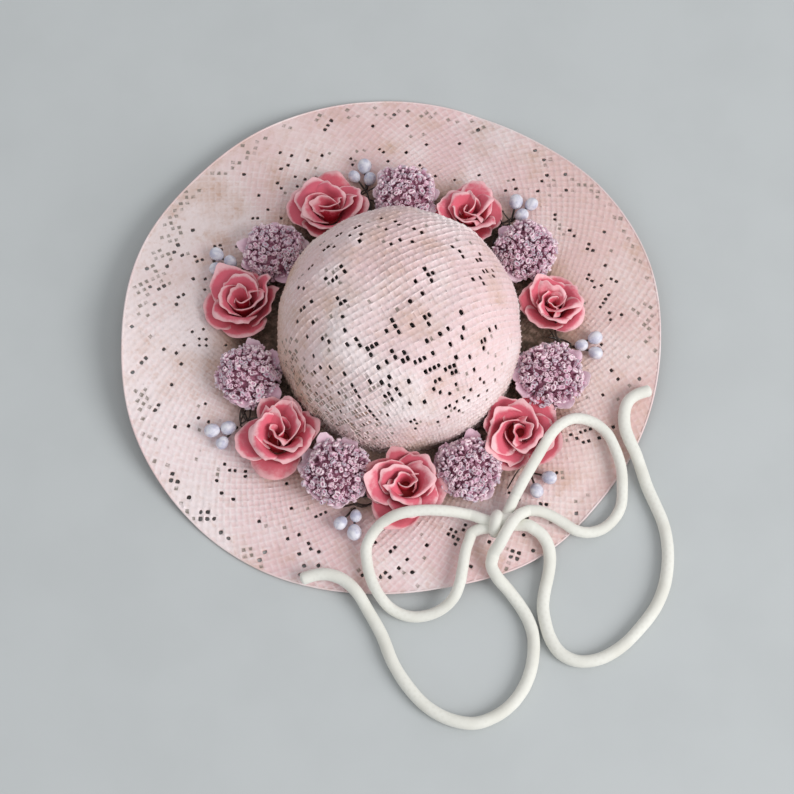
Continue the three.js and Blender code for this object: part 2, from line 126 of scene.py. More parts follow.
BRIM_HOLES = {
    21: (77,), 24: (10, 48, 51), 25: (100, 146), 27: (21, 24, 73, 74, 106, 133),
    28: (38, 57, 71, 105, 145), 29: (25, 49, 51, 72, 73, 104, 158),
    30: (12, 25, 32, 40, 43, 51, 59, 64, 81, 92, 100, 122, 124, 132, 138, 144, 145, 157, 158, 168),
    31: (16, 29, 34, 41, 57, 59, 62, 70, 83, 92, 121, 122, 123, 138, 145, 163, 166, 167, 168),
    32: (3, 10, 44, 56, 90, 111, 121, 143, 145, 150, 163),
    33: (0, 3, 33, 41, 56, 71, 81, 88, 89, 110, 113, 117, 121, 143, 153, 160, 161, 163, 165, 173),
    34: (10, 25, 28, 43, 46, 58, 61, 73, 112, 120, 132, 163, 170),
    35: (6, 28, 58, 63, 71, 100, 129, 132, 143, 151, 169, 170),
    36: (35, 37, 57, 63, 64, 80, 101, 113, 123, 144, 159, 164, 166),
    37: (21, 39, 40, 74, 87, 90, 94, 98, 101, 102, 144, 163), 38: (5, 69, 88, 111, 126, 127),
    39: (16, 37, 56, 78, 99, 109, 112, 122), 40: (1, 4, 52, 60, 101, 106, 108, 109, 118, 123, 149, 168),
    41: (37, 42, 54, 55, 57, 60, 62, 74, 99, 120, 122, 123, 131),
    42: (21, 25, 68, 74, 94, 118, 122, 124, 130),
    43: (1, 4, 30, 59, 68, 86, 87, 98, 123), 44: (5, 12, 29, 80, 81, 83, 85, 86, 88, 89, 93, 123),
    45: (2, 3, 5, 21, 28, 56, 63, 68, 80, 85, 88), 46: (79,),
}
BRIM_FILM = {
    28: (103, 144, 151), 29: (39,), 30: (45,), 31: (1, 2), 32: (2, 138), 33: (11, 124, 137),
    35: (30, 31, 87, 130), 36: (4, 87, 115, 130), 37: (95, 153), 38: (4, 130),
    39: (3, 22, 60, 123, 129, 133, 158, 166), 40: (3, 134, 157), 41: (56, 58, 59, 155),
    42: (4, 52, 53, 55, 58, 63, 111, 121, 153, 154, 155, 157),
    43: (0, 13, 51, 53, 55, 57, 58, 60, 61, 71, 72, 73, 92, 120, 151, 155, 156, 162, 173),
    44: (3, 22, 38, 39, 40, 41, 42, 51, 52, 54, 55, 56, 58, 59, 61, 62, 71, 72, 76, 79, 91, 92, 159,
         161, 163, 164, 165, 167, 170, 171, 172),
    45: (11, 14, 15, 17, 18, 22, 23, 25, 37, 38, 40, 42, 45, 46, 47, 48, 49, 50, 52, 54, 58, 59, 71, 72,
         73, 75, 81, 91, 93, 166, 168, 170, 171),
    46: (12, 16, 17, 19, 20, 29, 32, 35, 36, 42, 46, 47, 48, 49, 50, 58, 74, 77, 83, 84, 93),
    47: (25, 28, 32, 37, 45),
}

# Flowers. A place is an azimuth and a distance from the crown's axis in millimetres.
RoseSpot = namedtuple("RoseSpot", "azimuth radius size turn")
ROSES = [
    RoseSpot(61.7, 45.0, 0.93, 12), RoseSpot(117.4, 46.9, 1.03, 40), RoseSpot(168.6, 47.6, 1.0, -8),
    RoseSpot(222.8, 48.2, 1.05, 25), RoseSpot(272.2, 47.4, 1.05, 55), RoseSpot(319.6, 46.2, 1.07, 65),
    RoseSpot(11.5, 47.2, 0.87, 30),
]
# One whorl of petals a row. Lengths are in millimetres for a rose of size 1, angles in degrees:
# how many, distance of the root from the middle, length and width of a petal, how steeply it stands
# at its root and at its tip, how far round it wraps (1 is round the flower), how far its rim curls
# over, how far one side stands outside the other, and the direction of the first petal.
Whorl = namedtuple("Whorl", "count root length width stand lean wrap curl skew first")
WHORLS = [
    Whorl(2, 1.3, 7.4, 10.5, 86, 70, 1.15, 30, 2.6, 0),
    Whorl(3, 2.9, 9.2, 14.0, 78, 58, 1.15, 45, 2.3, 40),
    Whorl(3, 3.7, 10.2, 16.0, 62, 40, 1.2, 55, 1.7, 80),
    Whorl(4, 3.9, 9.6, 15.0, 40, 20, 1.3, 50, 1.1, 20),
]
# The rose's closed middle: distances from its axis and heights, in millimetres, and how far the
# petals' roots stand off the brim.
HEART = [(0.3, 0.0), (3.2, 0.1), (3.6, 1.2), (2.4, 2.3), (1.2, 2.8), (0.3, 3.0)]
ROSE_LIFT = 0.5 * MM
PomSpot = namedtuple("PomSpot", "azimuth radius size")
POMS = [
    PomSpot(35.8, 47.5, 1.05), PomSpot(87.7, 47.1, 1.06), PomSpot(144.4, 46.6, 1.04),
    PomSpot(196.8, 46.4, 1.06), PomSpot(247.3, 46.9, 1.12), PomSpot(295.6, 47.1, 1.06),
    PomSpot(343.8, 46.6, 1.14),
]
SpraySpot = namedtuple("SpraySpot", "azimuth radius buds turn")
SPRAYS = [
    SpraySpot(48.8, 58.0, 3, 20), SpraySpot(101.3, 56.4, 3, 80), SpraySpot(155.4, 59.2, 3, 0),
    SpraySpot(210.4, 60.5, 3, 40), SpraySpot(256.4, 59.6, 3, 55), SpraySpot(312.7, 62.0, 2, 47),
    SpraySpot(357.5, 57.4, 3, 60),
]
BUD_SPREAD = 2.8 * MM
SPRAY_FOOT = 5.4 * MM

# A cut end of cord or wire: how much of a quarter circle its last rings turn through, and how far
# they reach by the radius.
END_ROUND = 0.86
END_BLUNT = 0.55

# How the ends of the cord's stretches go on into the knot: the stretch, which end, the way, and its
# thickness at the far end by that of the tails. The left tail goes over the knot to the right loop.
KnotStrand = namedtuple("KnotStrand", "node end way far")
KNOT_STRANDS = [
    KnotStrand("cord_left_loop", 0, [(0.0262, -0.0608, 0.0086), (0.0302, -0.0620, 0.0076)], 0.91),
    KnotStrand("cord_left_loop", -1, [(0.0248, -0.0636, 0.0076), (0.0296, -0.0628, 0.0074)], 0.91),
    KnotStrand("cord_right_loop", 0, [
        (0.0341, -0.0568, 0.0084), (0.0326, -0.0600, 0.0076), (0.0314, -0.0632, 0.0070),
    ], 0.91),
    KnotStrand("cord_right_tail", -1, [(0.0366, -0.0616, 0.0060), (0.0336, -0.0616, 0.0058)], 1.0),
    KnotStrand("cord_left_tail", -1, [
        (0.0308, -0.0684, 0.0098), (0.0325, -0.0656, 0.0114), (0.0343, -0.0625, 0.0110),
        (0.0365, -0.0596, 0.0089), (0.0394, -0.0577, 0.0072), (0.0400, -0.0576, 0.0071),
    ], 0.91),
]
KNOT_WRAP = np.array([0.0298, -0.0620, 0.0082])
KNOT_CORE = [(0.0290, -0.0618, 0.0080), (0.0318, -0.0616, 0.0084), (0.0342, -0.0612, 0.0080)]

# The cord's four stretches. A tail starts at its cut end and a loop at the knot.
ROUTES = {
    "cord_left_tail": [
        (-0.0256, -0.0770, 0.0034), (-0.0226, -0.0761, 0.0037), (-0.0190, -0.0759, 0.0041),
        (-0.0144, -0.0775, 0.0043), (-0.0103, -0.0812, 0.0042), (-0.0070, -0.0863, 0.0026),
        (-0.0032, -0.0931, 0.0020), (0.0004, -0.1020, 0.0020), (0.0053, -0.1095, 0.0020),
        (0.0099, -0.1142, 0.0020), (0.0160, -0.1176, 0.0020), (0.0230, -0.1188, 0.0020),
        (0.0288, -0.1169, 0.0020), (0.0333, -0.1137, 0.0020), (0.0370, -0.1089, 0.0020),
        (0.0392, -0.1037, 0.0020), (0.0402, -0.0980, 0.0020), (0.0401, -0.0931, 0.0020),
        (0.0389, -0.0890, 0.0020), (0.0366, -0.0848, 0.0022), (0.0333, -0.0806, 0.0035),
        (0.0299, -0.0770, 0.0055), (0.0284, -0.0738, 0.0061), (0.0289, -0.0714, 0.0072),
    ],
    "cord_right_tail": [
        (0.0759, -0.0200, 0.0062), (0.0724, -0.0212, 0.0062), (0.0698, -0.0234, 0.0062),
        (0.0686, -0.0268, 0.0060), (0.0686, -0.0313, 0.0055), (0.0699, -0.0354, 0.0050),
        (0.0715, -0.0389, 0.0043), (0.0731, -0.0432, 0.0027), (0.0748, -0.0488, 0.0020),
        (0.0768, -0.0540, 0.0020), (0.0789, -0.0599, 0.0020), (0.0798, -0.0657, 0.0020),
        (0.0797, -0.0717, 0.0020), (0.0784, -0.0786, 0.0020), (0.0756, -0.0850, 0.0020),
        (0.0706, -0.0915, 0.0020), (0.0649, -0.0970, 0.0020), (0.0586, -0.1004, 0.0020),
        (0.0524, -0.1009, 0.0020), (0.0478, -0.0986, 0.0020), (0.0450, -0.0942, 0.0020),
        (0.0437, -0.0895, 0.0020), (0.0432, -0.0850, 0.0020), (0.0438, -0.0804, 0.0020),
        (0.0449, -0.0759, 0.0024), (0.0455, -0.0713, 0.0035), (0.0449, -0.0674, 0.0048),
        (0.0429, -0.0643, 0.0058), (0.0401, -0.0625, 0.0066),
    ],
    "cord_left_loop": [
        (0.0219, -0.0594, 0.0088), (0.0182, -0.0591, 0.0102), (0.0144, -0.0591, 0.0115),
        (0.0099, -0.0592, 0.0123), (0.0050, -0.0597, 0.0124), (0.0013, -0.0605, 0.0120),
        (-0.0023, -0.0619, 0.0101), (-0.0055, -0.0646, 0.0078), (-0.0075, -0.0685, 0.0065),
        (-0.0073, -0.0730, 0.0058), (-0.0061, -0.0778, 0.0053), (-0.0037, -0.0824, 0.0046),
        (-0.0004, -0.0858, 0.0029), (0.0044, -0.0878, 0.0021), (0.0091, -0.0878, 0.0022),
        (0.0139, -0.0862, 0.0032), (0.0175, -0.0832, 0.0052), (0.0193, -0.0791, 0.0063),
        (0.0201, -0.0750, 0.0066), (0.0211, -0.0695, 0.0069), (0.0226, -0.0652, 0.0072),
    ],
    "cord_right_loop": [
        (0.0358, -0.0532, 0.0088), (0.0371, -0.0510, 0.0100), (0.0390, -0.0478, 0.0113),
        (0.0422, -0.0425, 0.0125), (0.0454, -0.0371, 0.0125), (0.0492, -0.0325, 0.0112),
        (0.0537, -0.0298, 0.0090), (0.0589, -0.0303, 0.0073), (0.0631, -0.0334, 0.0062),
        (0.0655, -0.0381, 0.0053), (0.0671, -0.0435, 0.0042), (0.0674, -0.0492, 0.0027),
        (0.0668, -0.0546, 0.0020), (0.0646, -0.0586, 0.0020), (0.0613, -0.0615, 0.0020),
        (0.0572, -0.0629, 0.0026), (0.0531, -0.0626, 0.0039), (0.0496, -0.0606, 0.0048),
        (0.0455, -0.0585, 0.0058), (0.0422, -0.0576, 0.0068), (0.0394, -0.0577, 0.0072),
    ],
}


def screen_colour(red, green, blue):
    """A colour seen on a screen, 0 to 255 each, as the linear colour that materials use."""
    share = np.array([red, green, blue]) / 255
    return tuple(np.where(share <= 0.04045, share / 12.92, ((share + 0.055) / 1.055) ** 2.4))


def length_value(name, description, default):
    return FloatProperty(name=name, description=description, default=default, unit="LENGTH", precision=5)


def angle_value(name, description, degrees):
    return FloatProperty(name=name, description=description, default=math.radians(degrees), unit="ROTATION")


def share_value(name, description, default):
    return FloatProperty(name=name, description=description, default=default, min=0.0)


def colour_value(name, description, red, green, blue):
    return FloatVectorProperty(
        name=name, description=description, default=screen_colour(red, green, blue),
        subtype="COLOR", size=3, min=0.0, max=1.0,
    )


class StageSettings(bpy.types.PropertyGroup):
    """Camera, light and floor."""

    aim: FloatVectorProperty(
        name="Aim", description="Point that the camera looks at", default=(0.0013, -0.0195, 0.0),
        unit="LENGTH", size=3,
    )
    elevation: angle_value("Elevation", "Height of the camera above the horizon", 68.5)
    distance: length_value("Distance", "From the aim to the camera", 0.6)
    width: length_value("View width", "Width of what the camera sees at the aim", 0.2382)
    key_azimuth: angle_value("Key azimuth", "Direction that the soft key light comes from", -29)
    key_elevation: angle_value("Key elevation", "Height of the key light above the horizon", 35)
    key_distance: length_value("Key distance", "From the hat to the key light", 1.6)
    key_size: length_value("Key size", "Width of the soft key light", 1.0)
    key_power: FloatProperty(
        name="Key power", description="Power of the key light", default=16.5, unit="POWER",
    )
    sky: share_value("Sky", "Strength of the white light from all round", 0.59)
    floor_size: length_value("Floor size", "Width of the floor", 6.0)
    floor_colour: colour_value("Floor colour", "Plain pale floor", 196, 200, 201)


class ClothSettings(bpy.types.PropertyGroup):
    """Open-weave cloth of the crown and the brim."""

    thickness: length_value("Thickness", "Thickness of the painted cloth", 0.8 * MM)
    relief: length_value("Relief", "How far a strand stands above the paint between strands", 0.25 * MM)
    ridge: length_value("Ridge", "How far a row's strand stands up on the crown", 0.5 * MM)
    crossing: length_value("Crossing", "How much higher the cloth is where two strands cross", 0.12 * MM)
    sink: length_value("Sink", "How far the paint sags in a filled hole", 0.04 * MM)
    clogging: length_value("Clogging", "Width of the patches where thick paint hides the weave", 12 * MM)
    unevenness: length_value("Unevenness", "How far strands stray from their line", 0.06 * MM)
    rounding: share_value("Rounding", "How much paint narrows a hole, at most", 0.13)
    filling: share_value("Filling", "How much the strands beside a filled hole are broader", 0.3)
    stray: share_value("Stray film", "Share of other holes that only a thin film fills", 0.012)
    lump: length_value("Lumps", "Height of the crown's uneven lumps", 0.5 * MM)
    row_pitch: length_value("Row pitch", "Distance between the crown's rows", 2.05 * MM)
    cross_pitch: length_value("Cross pitch", "Distance between strands across the crown's rows", 1.45 * MM)
    row_width: length_value("Row width", "Width of a row's strand beside a hole", 0.5 * MM)
    cross_width: length_value("Cross width", "Width of a strand across the rows beside a hole", 0.3 * MM)
    row_turn: angle_value("Row direction", "Direction of the crown's rows", 29)
    brim_strands: IntProperty(
        name="Brim strands", description="Strands of each slanting family", default=174, min=12,
    )
    brim_strand_share: share_value("Brim strand share", "Half a brim strand as a share of the pitch", 0.17)
    hem: length_value("Hem", "Radius of the brim's turned edge", 0.32 * MM)
    # Also painted light, where the pale attribute raises it on the lit sides.
    white: colour_value("White paint", "Thick paint where the brush left most", 245, 231, 232)
    pink: colour_value("Pink paint", "Paint over most of the cloth", 231, 197, 199)
    # Also painted shade: it browns the hollows between strands, the crown's foot, the crown's wall away from
    # the light, and the brim under the wreath and where the crown's shadow falls. It is also browner towards
    # the brim's right side.
    worn_and_shaded: colour_value("Worn paint", "Thin brownish paint low in the weave", 208, 174, 158)
    # Its grey is partly painted shade: the dark under the cloth seen through the film.
    film: colour_value("Film", "Straw that shows through a thin film of paint", 128, 120, 110)
    # Glue, and painted shade between the flowers.
    glue: colour_value("Glue", "Dark glue and shadow between the flowers", 84, 68, 52)
    bare: colour_value("Bare straw", "Straw without paint, on the underside", 176, 140, 126)


class RoseSettings(bpy.types.PropertyGroup):
    """Paper roses."""

    paper: length_value("Paper", "Thickness of a petal", 0.4 * MM)
    ripple: length_value("Ripple", "Height of the ripples along a petal's rim", 0.9 * MM)
    deep: colour_value("Deep", "Inside of the flower", 178, 8, 44)
    coral: colour_value("Coral", "Middle of a petal", 234, 100, 126)
    rim: colour_value("Rim", "Frosted rim of a petal", 255, 212, 216)
    back: colour_value("Back", "Outer side of a petal", 226, 104, 124)
    dull: colour_value("Dull", "Faded paper of some outer petals", 178, 82, 84)
    # Partly painted shade: it darkens the closed middle deep in the flower.
    heart: colour_value("Heart", "Dull tint in the heart", 110, 50, 30)


class PomSettings(bpy.types.PropertyGroup):
    """Round flowers of small curled stamens."""

    florets: IntProperty(name="Stamens", description="Rolled stamens in one flower", default=460, min=12)
    petals: IntProperty(name="Petals", description="Small petals under the stamens", default=8, min=3)
    floret_length: length_value("Stamen length", "Length of one rolled stamen", 3.4 * MM)
    floret_radius: length_value("Stamen radius", "Radius of its rolled tip", 0.52 * MM)
    # Painted shade between the stamens, on the dome and in the hollows of the rolled tips.
    dark: colour_value("Dark", "Depth between the stamens", 176, 112, 136)
    lilac: colour_value("Lilac", "Sides of the stamens", 218, 172, 194)
    tip: colour_value("Tip", "Rolled tips", 246, 226, 232)
    grey: colour_value("Grey", "Grey tips here and there", 206, 196, 206)


class BudSettings(bpy.types.PropertyGroup):
    """Paper buds on dark wires."""

    radius: length_value("Bud radius", "Radius of a bud", 2.0 * MM)
    stretch: share_value("Stretch", "Length of a bud by its width", 1.15)
    wire: length_value("Wire radius", "Radius of a stem", 0.32 * MM)
    stems: IntProperty(name="Stems", description="Loose stem ends between the flowers", default=9, min=0)
    pale: colour_value("Pale", "Top of a bud", 232, 230, 238)
    blue: colour_value("Blue", "Shaded paper of a bud", 172, 172, 198)
    stem: colour_value("Stem", "Dark wire", 62, 50, 44)


class CordSettings(bpy.types.PropertyGroup):
    """Soft cord of the bow."""

    diameter: length_value("Diameter", "Thickness of the cord", 3.6 * MM)
    drawn: share_value("Drawn loops", "Thickness of the taut loops by that of the tails", 0.9)
    unevenness: share_value("Unevenness", "How much the cord's thickness changes along it", 0.025)
    braid: length_value("Braid", "Length of one crossing of the cord's braid", 2.4 * MM)
    ivory: colour_value("Ivory", "Cotton of the cord", 233, 232, 224)
    shade: colour_value("Shade", "Grooves of the braid", 212, 209, 198)


# Surfaces: points, lists of faces by number of corners, one value a point for each named attribute,
# and for each list of faces the place of each corner on the piece's own map, if it has one.
Surface = namedtuple("Surface", "points faces values maps", defaults=(None,))


def smooth_step(low, high, value):
    """0 below low, 1 above high and a smooth rise between."""
    share = np.clip((value - low) / (high - low), 0, 1)
    return share * share * (3 - 2 * share)


def grid_faces(rows, columns, round_columns=False):
    """Corner numbers of the quads between rows of points, each row closed on itself or not."""
    i = np.arange(rows - 1)[:, None]
    j = np.arange(columns if round_columns else columns - 1)[None, :]
    after = (j + 1) % columns
    corners = [i * columns + j, i * columns + after, (i + 1) * columns + after, (i + 1) * columns + j]
    return np.stack([np.broadcast_to(c, (i + j).shape) for c in corners], -1).reshape(-1, 4)


def ringed_faces(rings, sides):
    """The quads between closed rings of points, and a flat face on the first and on the last ring."""
    around = np.arange(sides)
    caps = np.stack([around[::-1], (rings - 1) * sides + around])
    return [grid_faces(rings, sides, round_columns=True), caps]


def steady(count, **values):
    """The same value of each named attribute at all of the points."""
    return {key: np.full(count, value, float) for key, value in values.items()}


def two_sided(upper, edge_start, edge_end, count):
    """The upper faces, the same turned over on the lower points, and a wall along each border edge."""
    walls = np.stack([edge_end, edge_start, edge_start + count, edge_end + count], 1)
    return [upper, upper[:, ::-1] + count, walls]


def shell(top, bottom, quads, values):
    """A closed sheet: quads on the upper points, the same quads turned over on the lower points, and
    a wall along every edge that only one quad uses."""
    used, quads = np.unique(quads, return_inverse=True)
    quads = quads.reshape(-1, 4)
    count = len(used)
    start = quads.ravel()
    end = np.roll(quads, -1, axis=1).ravel()
    edge = np.minimum(start, end) * count + np.maximum(start, end)
    _, which, uses = np.unique(edge, return_inverse=True, return_counts=True)
    rim = uses[which] == 1
    both = {key: np.tile(value[used], 2) for key, value in values.items()}
    both["under"] = np.repeat([0.0, 1.0], count)
    points = np.concatenate([top[used], bottom[used]])
    return Surface(points, two_sided(quads, start[rim], end[rim], count), both)


def corner_fills(top, bottom, holes, values, rng):
    """Paint that rounds the corners of open holes: at each corner a wedge as thick as the cloth, whose
    triangle reaches a share of the way along both sides of the hole."""
    at = holes.ravel()
    share = rng.uniform(0.1, 0.32, (len(at), 1))
    ends = [at, np.roll(holes, -1, axis=1).ravel(), np.roll(holes, 1, axis=1).ravel()]
    skins = [
        np.stack([skin[at] + share * (skin[end] - skin[at]) for end in ends], 1) for skin in (top, bottom)
    ]
    count = 3 * len(at)
    triangles = np.arange(count).reshape(-1, 3)
    faces = two_sided(triangles, triangles.ravel(), np.roll(triangles, -1, axis=1).ravel(), count)
    both = {key: np.tile(np.repeat(value[at], 3), 2) for key, value in values.items()}
    both["under"] = np.repeat([0.0, 1.0], count)
    return Surface(np.concatenate(skins).reshape(-1, 3), faces, both)


def merge(surfaces):
    """Several surfaces as one."""
    starts = np.cumsum([0] + [len(surface.points) for surface in surfaces[:-1]])
    points = np.concatenate([surface.points for surface in surfaces])
    faces = [block + start for surface, start in zip(surfaces, starts) for block in surface.faces]
    values = {
        key: np.concatenate([surface.values[key] for surface in surfaces]) for key in surfaces[0].values
    }
    maps = None
    if surfaces[0].maps is not None:
        maps = [block for surface in surfaces for block in surface.maps]
    return Surface(points, faces, values, maps)


def add_piece(name, surface, material, replaced, sharp=math.radians(60)):
    """Put a surface into a mesh object that rides on the hat and stands for its nodes of the frame."""
    mesh = bpy.data.meshes.new(name)
    mesh.vertices.add(len(surface.points))
    mesh.vertices.foreach_set("co", surface.points.astype(np.float32).ravel())
    corners = np.concatenate([block.ravel() for block in surface.faces])
    sizes = np.concatenate([np.full(len(block), block.shape[1]) for block in surface.faces])
    mesh.loops.add(len(corners))
    mesh.loops.foreach_set("vertex_index", corners.astype(np.int32))
    mesh.polygons.add(len(sizes))
    mesh.polygons.foreach_set("loop_start", (np.cumsum(sizes) - sizes).astype(np.int32))
    for key, value in surface.values.items():
        mesh.attributes.new(key, "FLOAT", "POINT").data.foreach_set("value", value.astype(np.float32))
    if surface.maps is not None:
        layer = mesh.uv_layers.new(name="along_and_round")
        flat = np.concatenate([block.reshape(-1, 2) for block in surface.maps])
        layer.data.foreach_set("uv", flat.astype(np.float32).ravel())
    mesh.update(calc_edges=True)
    if mesh.validate():
        raise RuntimeError(f"{name} has faces that a mesh can't hold")
    mesh.shade_smooth()
    mesh.set_sharp_from_angle(angle=sharp)
    mesh.materials.append(material)
    piece = bpy.data.objects.new(name, mesh)
    bpy.context.scene.collection.objects.link(piece)
    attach(piece, BODY)
    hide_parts(*replaced)
    return piece


class Finish:
    """Short ways to add and join the nodes of one material."""

    def __init__(self, name, roughness):
        self.material = bpy.data.materials.new(name)
        self.material.use_nodes = True
        self.tree = self.material.node_tree
        self.shader = self.tree.nodes["Principled BSDF"]
        self.shader.inputs["Roughness"].default_value = roughness
        self.place = self.add("ShaderNodeTexCoord").outputs["Object"]

    def add(self, kind, **settings):
        node = self.tree.nodes.new(kind)
        for key, value in settings.items():
            setattr(node, key, value)
        return node

    def join(self, value, socket):
        """Link an output to a socket, or set the socket's own number or colour."""
        if isinstance(value, bpy.types.NodeSocket):
            self.tree.links.new(value, socket)
        elif hasattr(value, "__len__"):
            socket.default_value = (*value[:3], 1.0)
        else:
            socket.default_value = value

    def attribute(self, name):
        return self.add("ShaderNodeAttribute", attribute_name=name).outputs["Fac"]

    def maths(self, operation, first, second=0.0):
        node = self.add("ShaderNodeMath", operation=operation)
        self.join(first, node.inputs[0])
        self.join(second, node.inputs[1])
        return node.outputs[0]

    def plus(self, first, second):
        return self.maths("ADD", first, second)

    def times(self, first, second):
        return self.maths("MULTIPLY", first, second)

    def between(self, value, low, high, start=0.0, end=1.0):
        """A smooth change from start to end as the value goes from low to high."""
        node = self.add("ShaderNodeMapRange", interpolation_type="SMOOTHSTEP")
        sockets = ("Value", "From Min", "From Max", "To Min", "To Max")
        for key, number in zip(sockets, (value, low, high, start, end)):
            self.join(number, node.inputs[key])
        return node.outputs[0]

    def noise(self, size, detail=2.0, rough=0.5):
        """Cloudy noise with patches of about that size, in metres."""
        node = self.add("ShaderNodeTexNoise")
        self.tree.links.new(self.place, node.inputs["Vector"])
        node.inputs["Scale"].default_value = 1 / size
        node.inputs["Detail"].default_value = detail
        node.inputs["Roughness"].default_value = rough
        return node.outputs["Fac"]

    def mix(self, share, first, second, blend="MIX"):
        node = self.add("ShaderNodeMix", data_type="RGBA", blend_type=blend)
        self.join(share, node.inputs[0])
        self.join(first, node.inputs[6])
        self.join(second, node.inputs[7])
        return node.outputs[2]

    def bump(self, height, distance, strength=1.0, below=None):
        node = self.add("ShaderNodeBump")
        node.inputs["Strength"].default_value = strength
        node.inputs["Distance"].default_value = distance
        self.tree.links.new(height, node.inputs["Height"])
        if below is not None:
            self.tree.links.new(below, node.inputs["Normal"])
        return node.outputs["Normal"]

    def finish(self, colour, normal=None):
        self.join(colour, self.shader.inputs["Base Color"])
        if normal is not None:
            self.tree.links.new(normal, self.shader.inputs["Normal"])
        return self.material


def straw_finish(settings):
    """Chalky paint on woven straw: pale on the strands, pink between, brownish where it is thin. The paler
    strand tops and browner hollows are partly painted light and painted shade, and attributes add more
    painted light and shade.
    """
    finish = Finish("painted_straw", 0.72)
    strand = finish.attribute("strand")
    tone = finish.attribute("tone")
    fleck = finish.noise(1.8 * MM, 3.0, 0.6)
    brushed = finish.between(finish.noise(22 * MM, 3.0), 0.42, 0.7, 0.0, 0.7)
    # Paler where the pale attribute is high: paint, and painted light on the lit sides.
    thick = finish.plus(brushed, finish.attribute("pale"))
    # Whiter on the strands' tops: the paint, and painted light on the raised strands.
    thick = finish.plus(thick, finish.between(strand, 0.1, 0.8, -0.1, 0.4))
    paint = finish.mix(finish.maths("MINIMUM", thick, 1.0), settings.pink, settings.white)
    thin = finish.between(finish.noise(13 * MM, 4.0), 0.48, 0.74)
    thin = finish.plus(thin, finish.between(fleck, 0.5, 0.75, 0.0, 0.6))
    # More of it low between the strands: painted shade in the hollows.
    thin = finish.times(thin, finish.between(strand, 0.1, 0.8, 0.6, 0.35))
    # Brownish where the paint is thin, and painted shade where the attribute adds it.
    paint = finish.mix(finish.maths("MINIMUM", finish.plus(thin, tone), 1.0), paint, settings.worn_and_shaded)
    # Cells under a thin film: grey, partly straw and partly painted shade from under the cloth.
    film = finish.between(finish.attribute("film"), 0.55, 0.95)
    film = finish.times(film, finish.between(fleck, 0.35, 0.6, 0.25, 0.9))
    paint = finish.mix(film, paint, settings.film)
    # Dark glue and painted shade between and under the flowers.
    glue = finish.times(finish.attribute("glue"), finish.between(fleck, 0.3, 0.6, 0.6, 1.0))
    paint = finish.mix(glue, paint, settings.glue)
    paint = finish.mix(finish.attribute("under"), paint, settings.bare)
    grain = finish.bump(finish.noise(0.35 * MM, 3.0, 0.6), 0.06 * MM, 0.6)
    return finish.finish(paint, finish.bump(fleck, 0.16 * MM, 0.6, grain))


def rose_finish(settings):
    """Matte crepe paper: crimson low inside, coral in the middle and a frosted pale rim."""
    finish = Finish("rose_paper", 0.78)
    shift = finish.times(finish.maths("SUBTRACT", finish.noise(2.4 * MM, 5.0, 0.6), 0.5), 1.3)
    opened = finish.between(finish.plus(finish.attribute("depth"), shift), 0.35, 0.95)
    inside = finish.mix(opened, settings.deep, settings.coral)
    # The heart: a dull tint with painted shade deep in the flower.
    inside = finish.mix(finish.attribute("heart"), inside, settings.heart)
    colour = finish.mix(finish.attribute("under"), inside, settings.back)
    frost = finish.plus(finish.attribute("rim"), finish.times(shift, 0.8))
    colour = finish.mix(finish.between(frost, 0.35, 1.0, 0.0, 0.85), colour, settings.rim)
    colour = finish.mix(finish.attribute("tint"), colour, settings.dull)
    crepe = finish.noise(0.8 * MM, 5.0, 0.65)
    return finish.finish(colour, finish.bump(crepe, 0.2 * MM, 0.6))


def pom_finish(settings):
    """Curled paper stamens: painted shade between them, lilac sides and pale tips, some of them grey-green.
    """
    finish = Finish("stamen_paper", 0.5)
    tip = finish.attribute("tip")
    tint = finish.attribute("tint")
    colour = finish.mix(finish.between(tip, 0.05, 0.55), settings.dark, settings.lilac)
    pale = finish.mix(finish.between(tint, 0.6, 0.85), settings.tip, settings.grey)
    colour = finish.mix(finish.between(tip, 0.5, 0.95), colour, pale)
    colour = finish.mix(finish.between(tint, 0.0, 0.45, 0.7, 0.0), colour, settings.lilac)
    return finish.finish(colour, finish.bump(finish.noise(0.4 * MM, 3.0), 0.06 * MM, 0.5))


def bud_finish(settings):
    """Waxed paper buds, bluer in patches and in their seams, where the blue is painted shade, on dark stems.
    """
    finish = Finish("bud_paper", 0.42)
    # Bluer in the seams: painted shade.
    seam = finish.times(finish.attribute("seam"), 0.5)
    cloud = finish.between(finish.noise(2.0 * MM, 2.0), 0.35, 0.7)
    shade = finish.maths("MAXIMUM", seam, finish.times(cloud, 0.8))
    colour = finish.mix(shade, settings.pale, settings.blue)
    colour = finish.mix(finish.attribute("stem"), colour, settings.stem)
    return finish.finish(colour, finish.bump(finish.noise(0.5 * MM, 3.0), 0.06 * MM, 0.5))


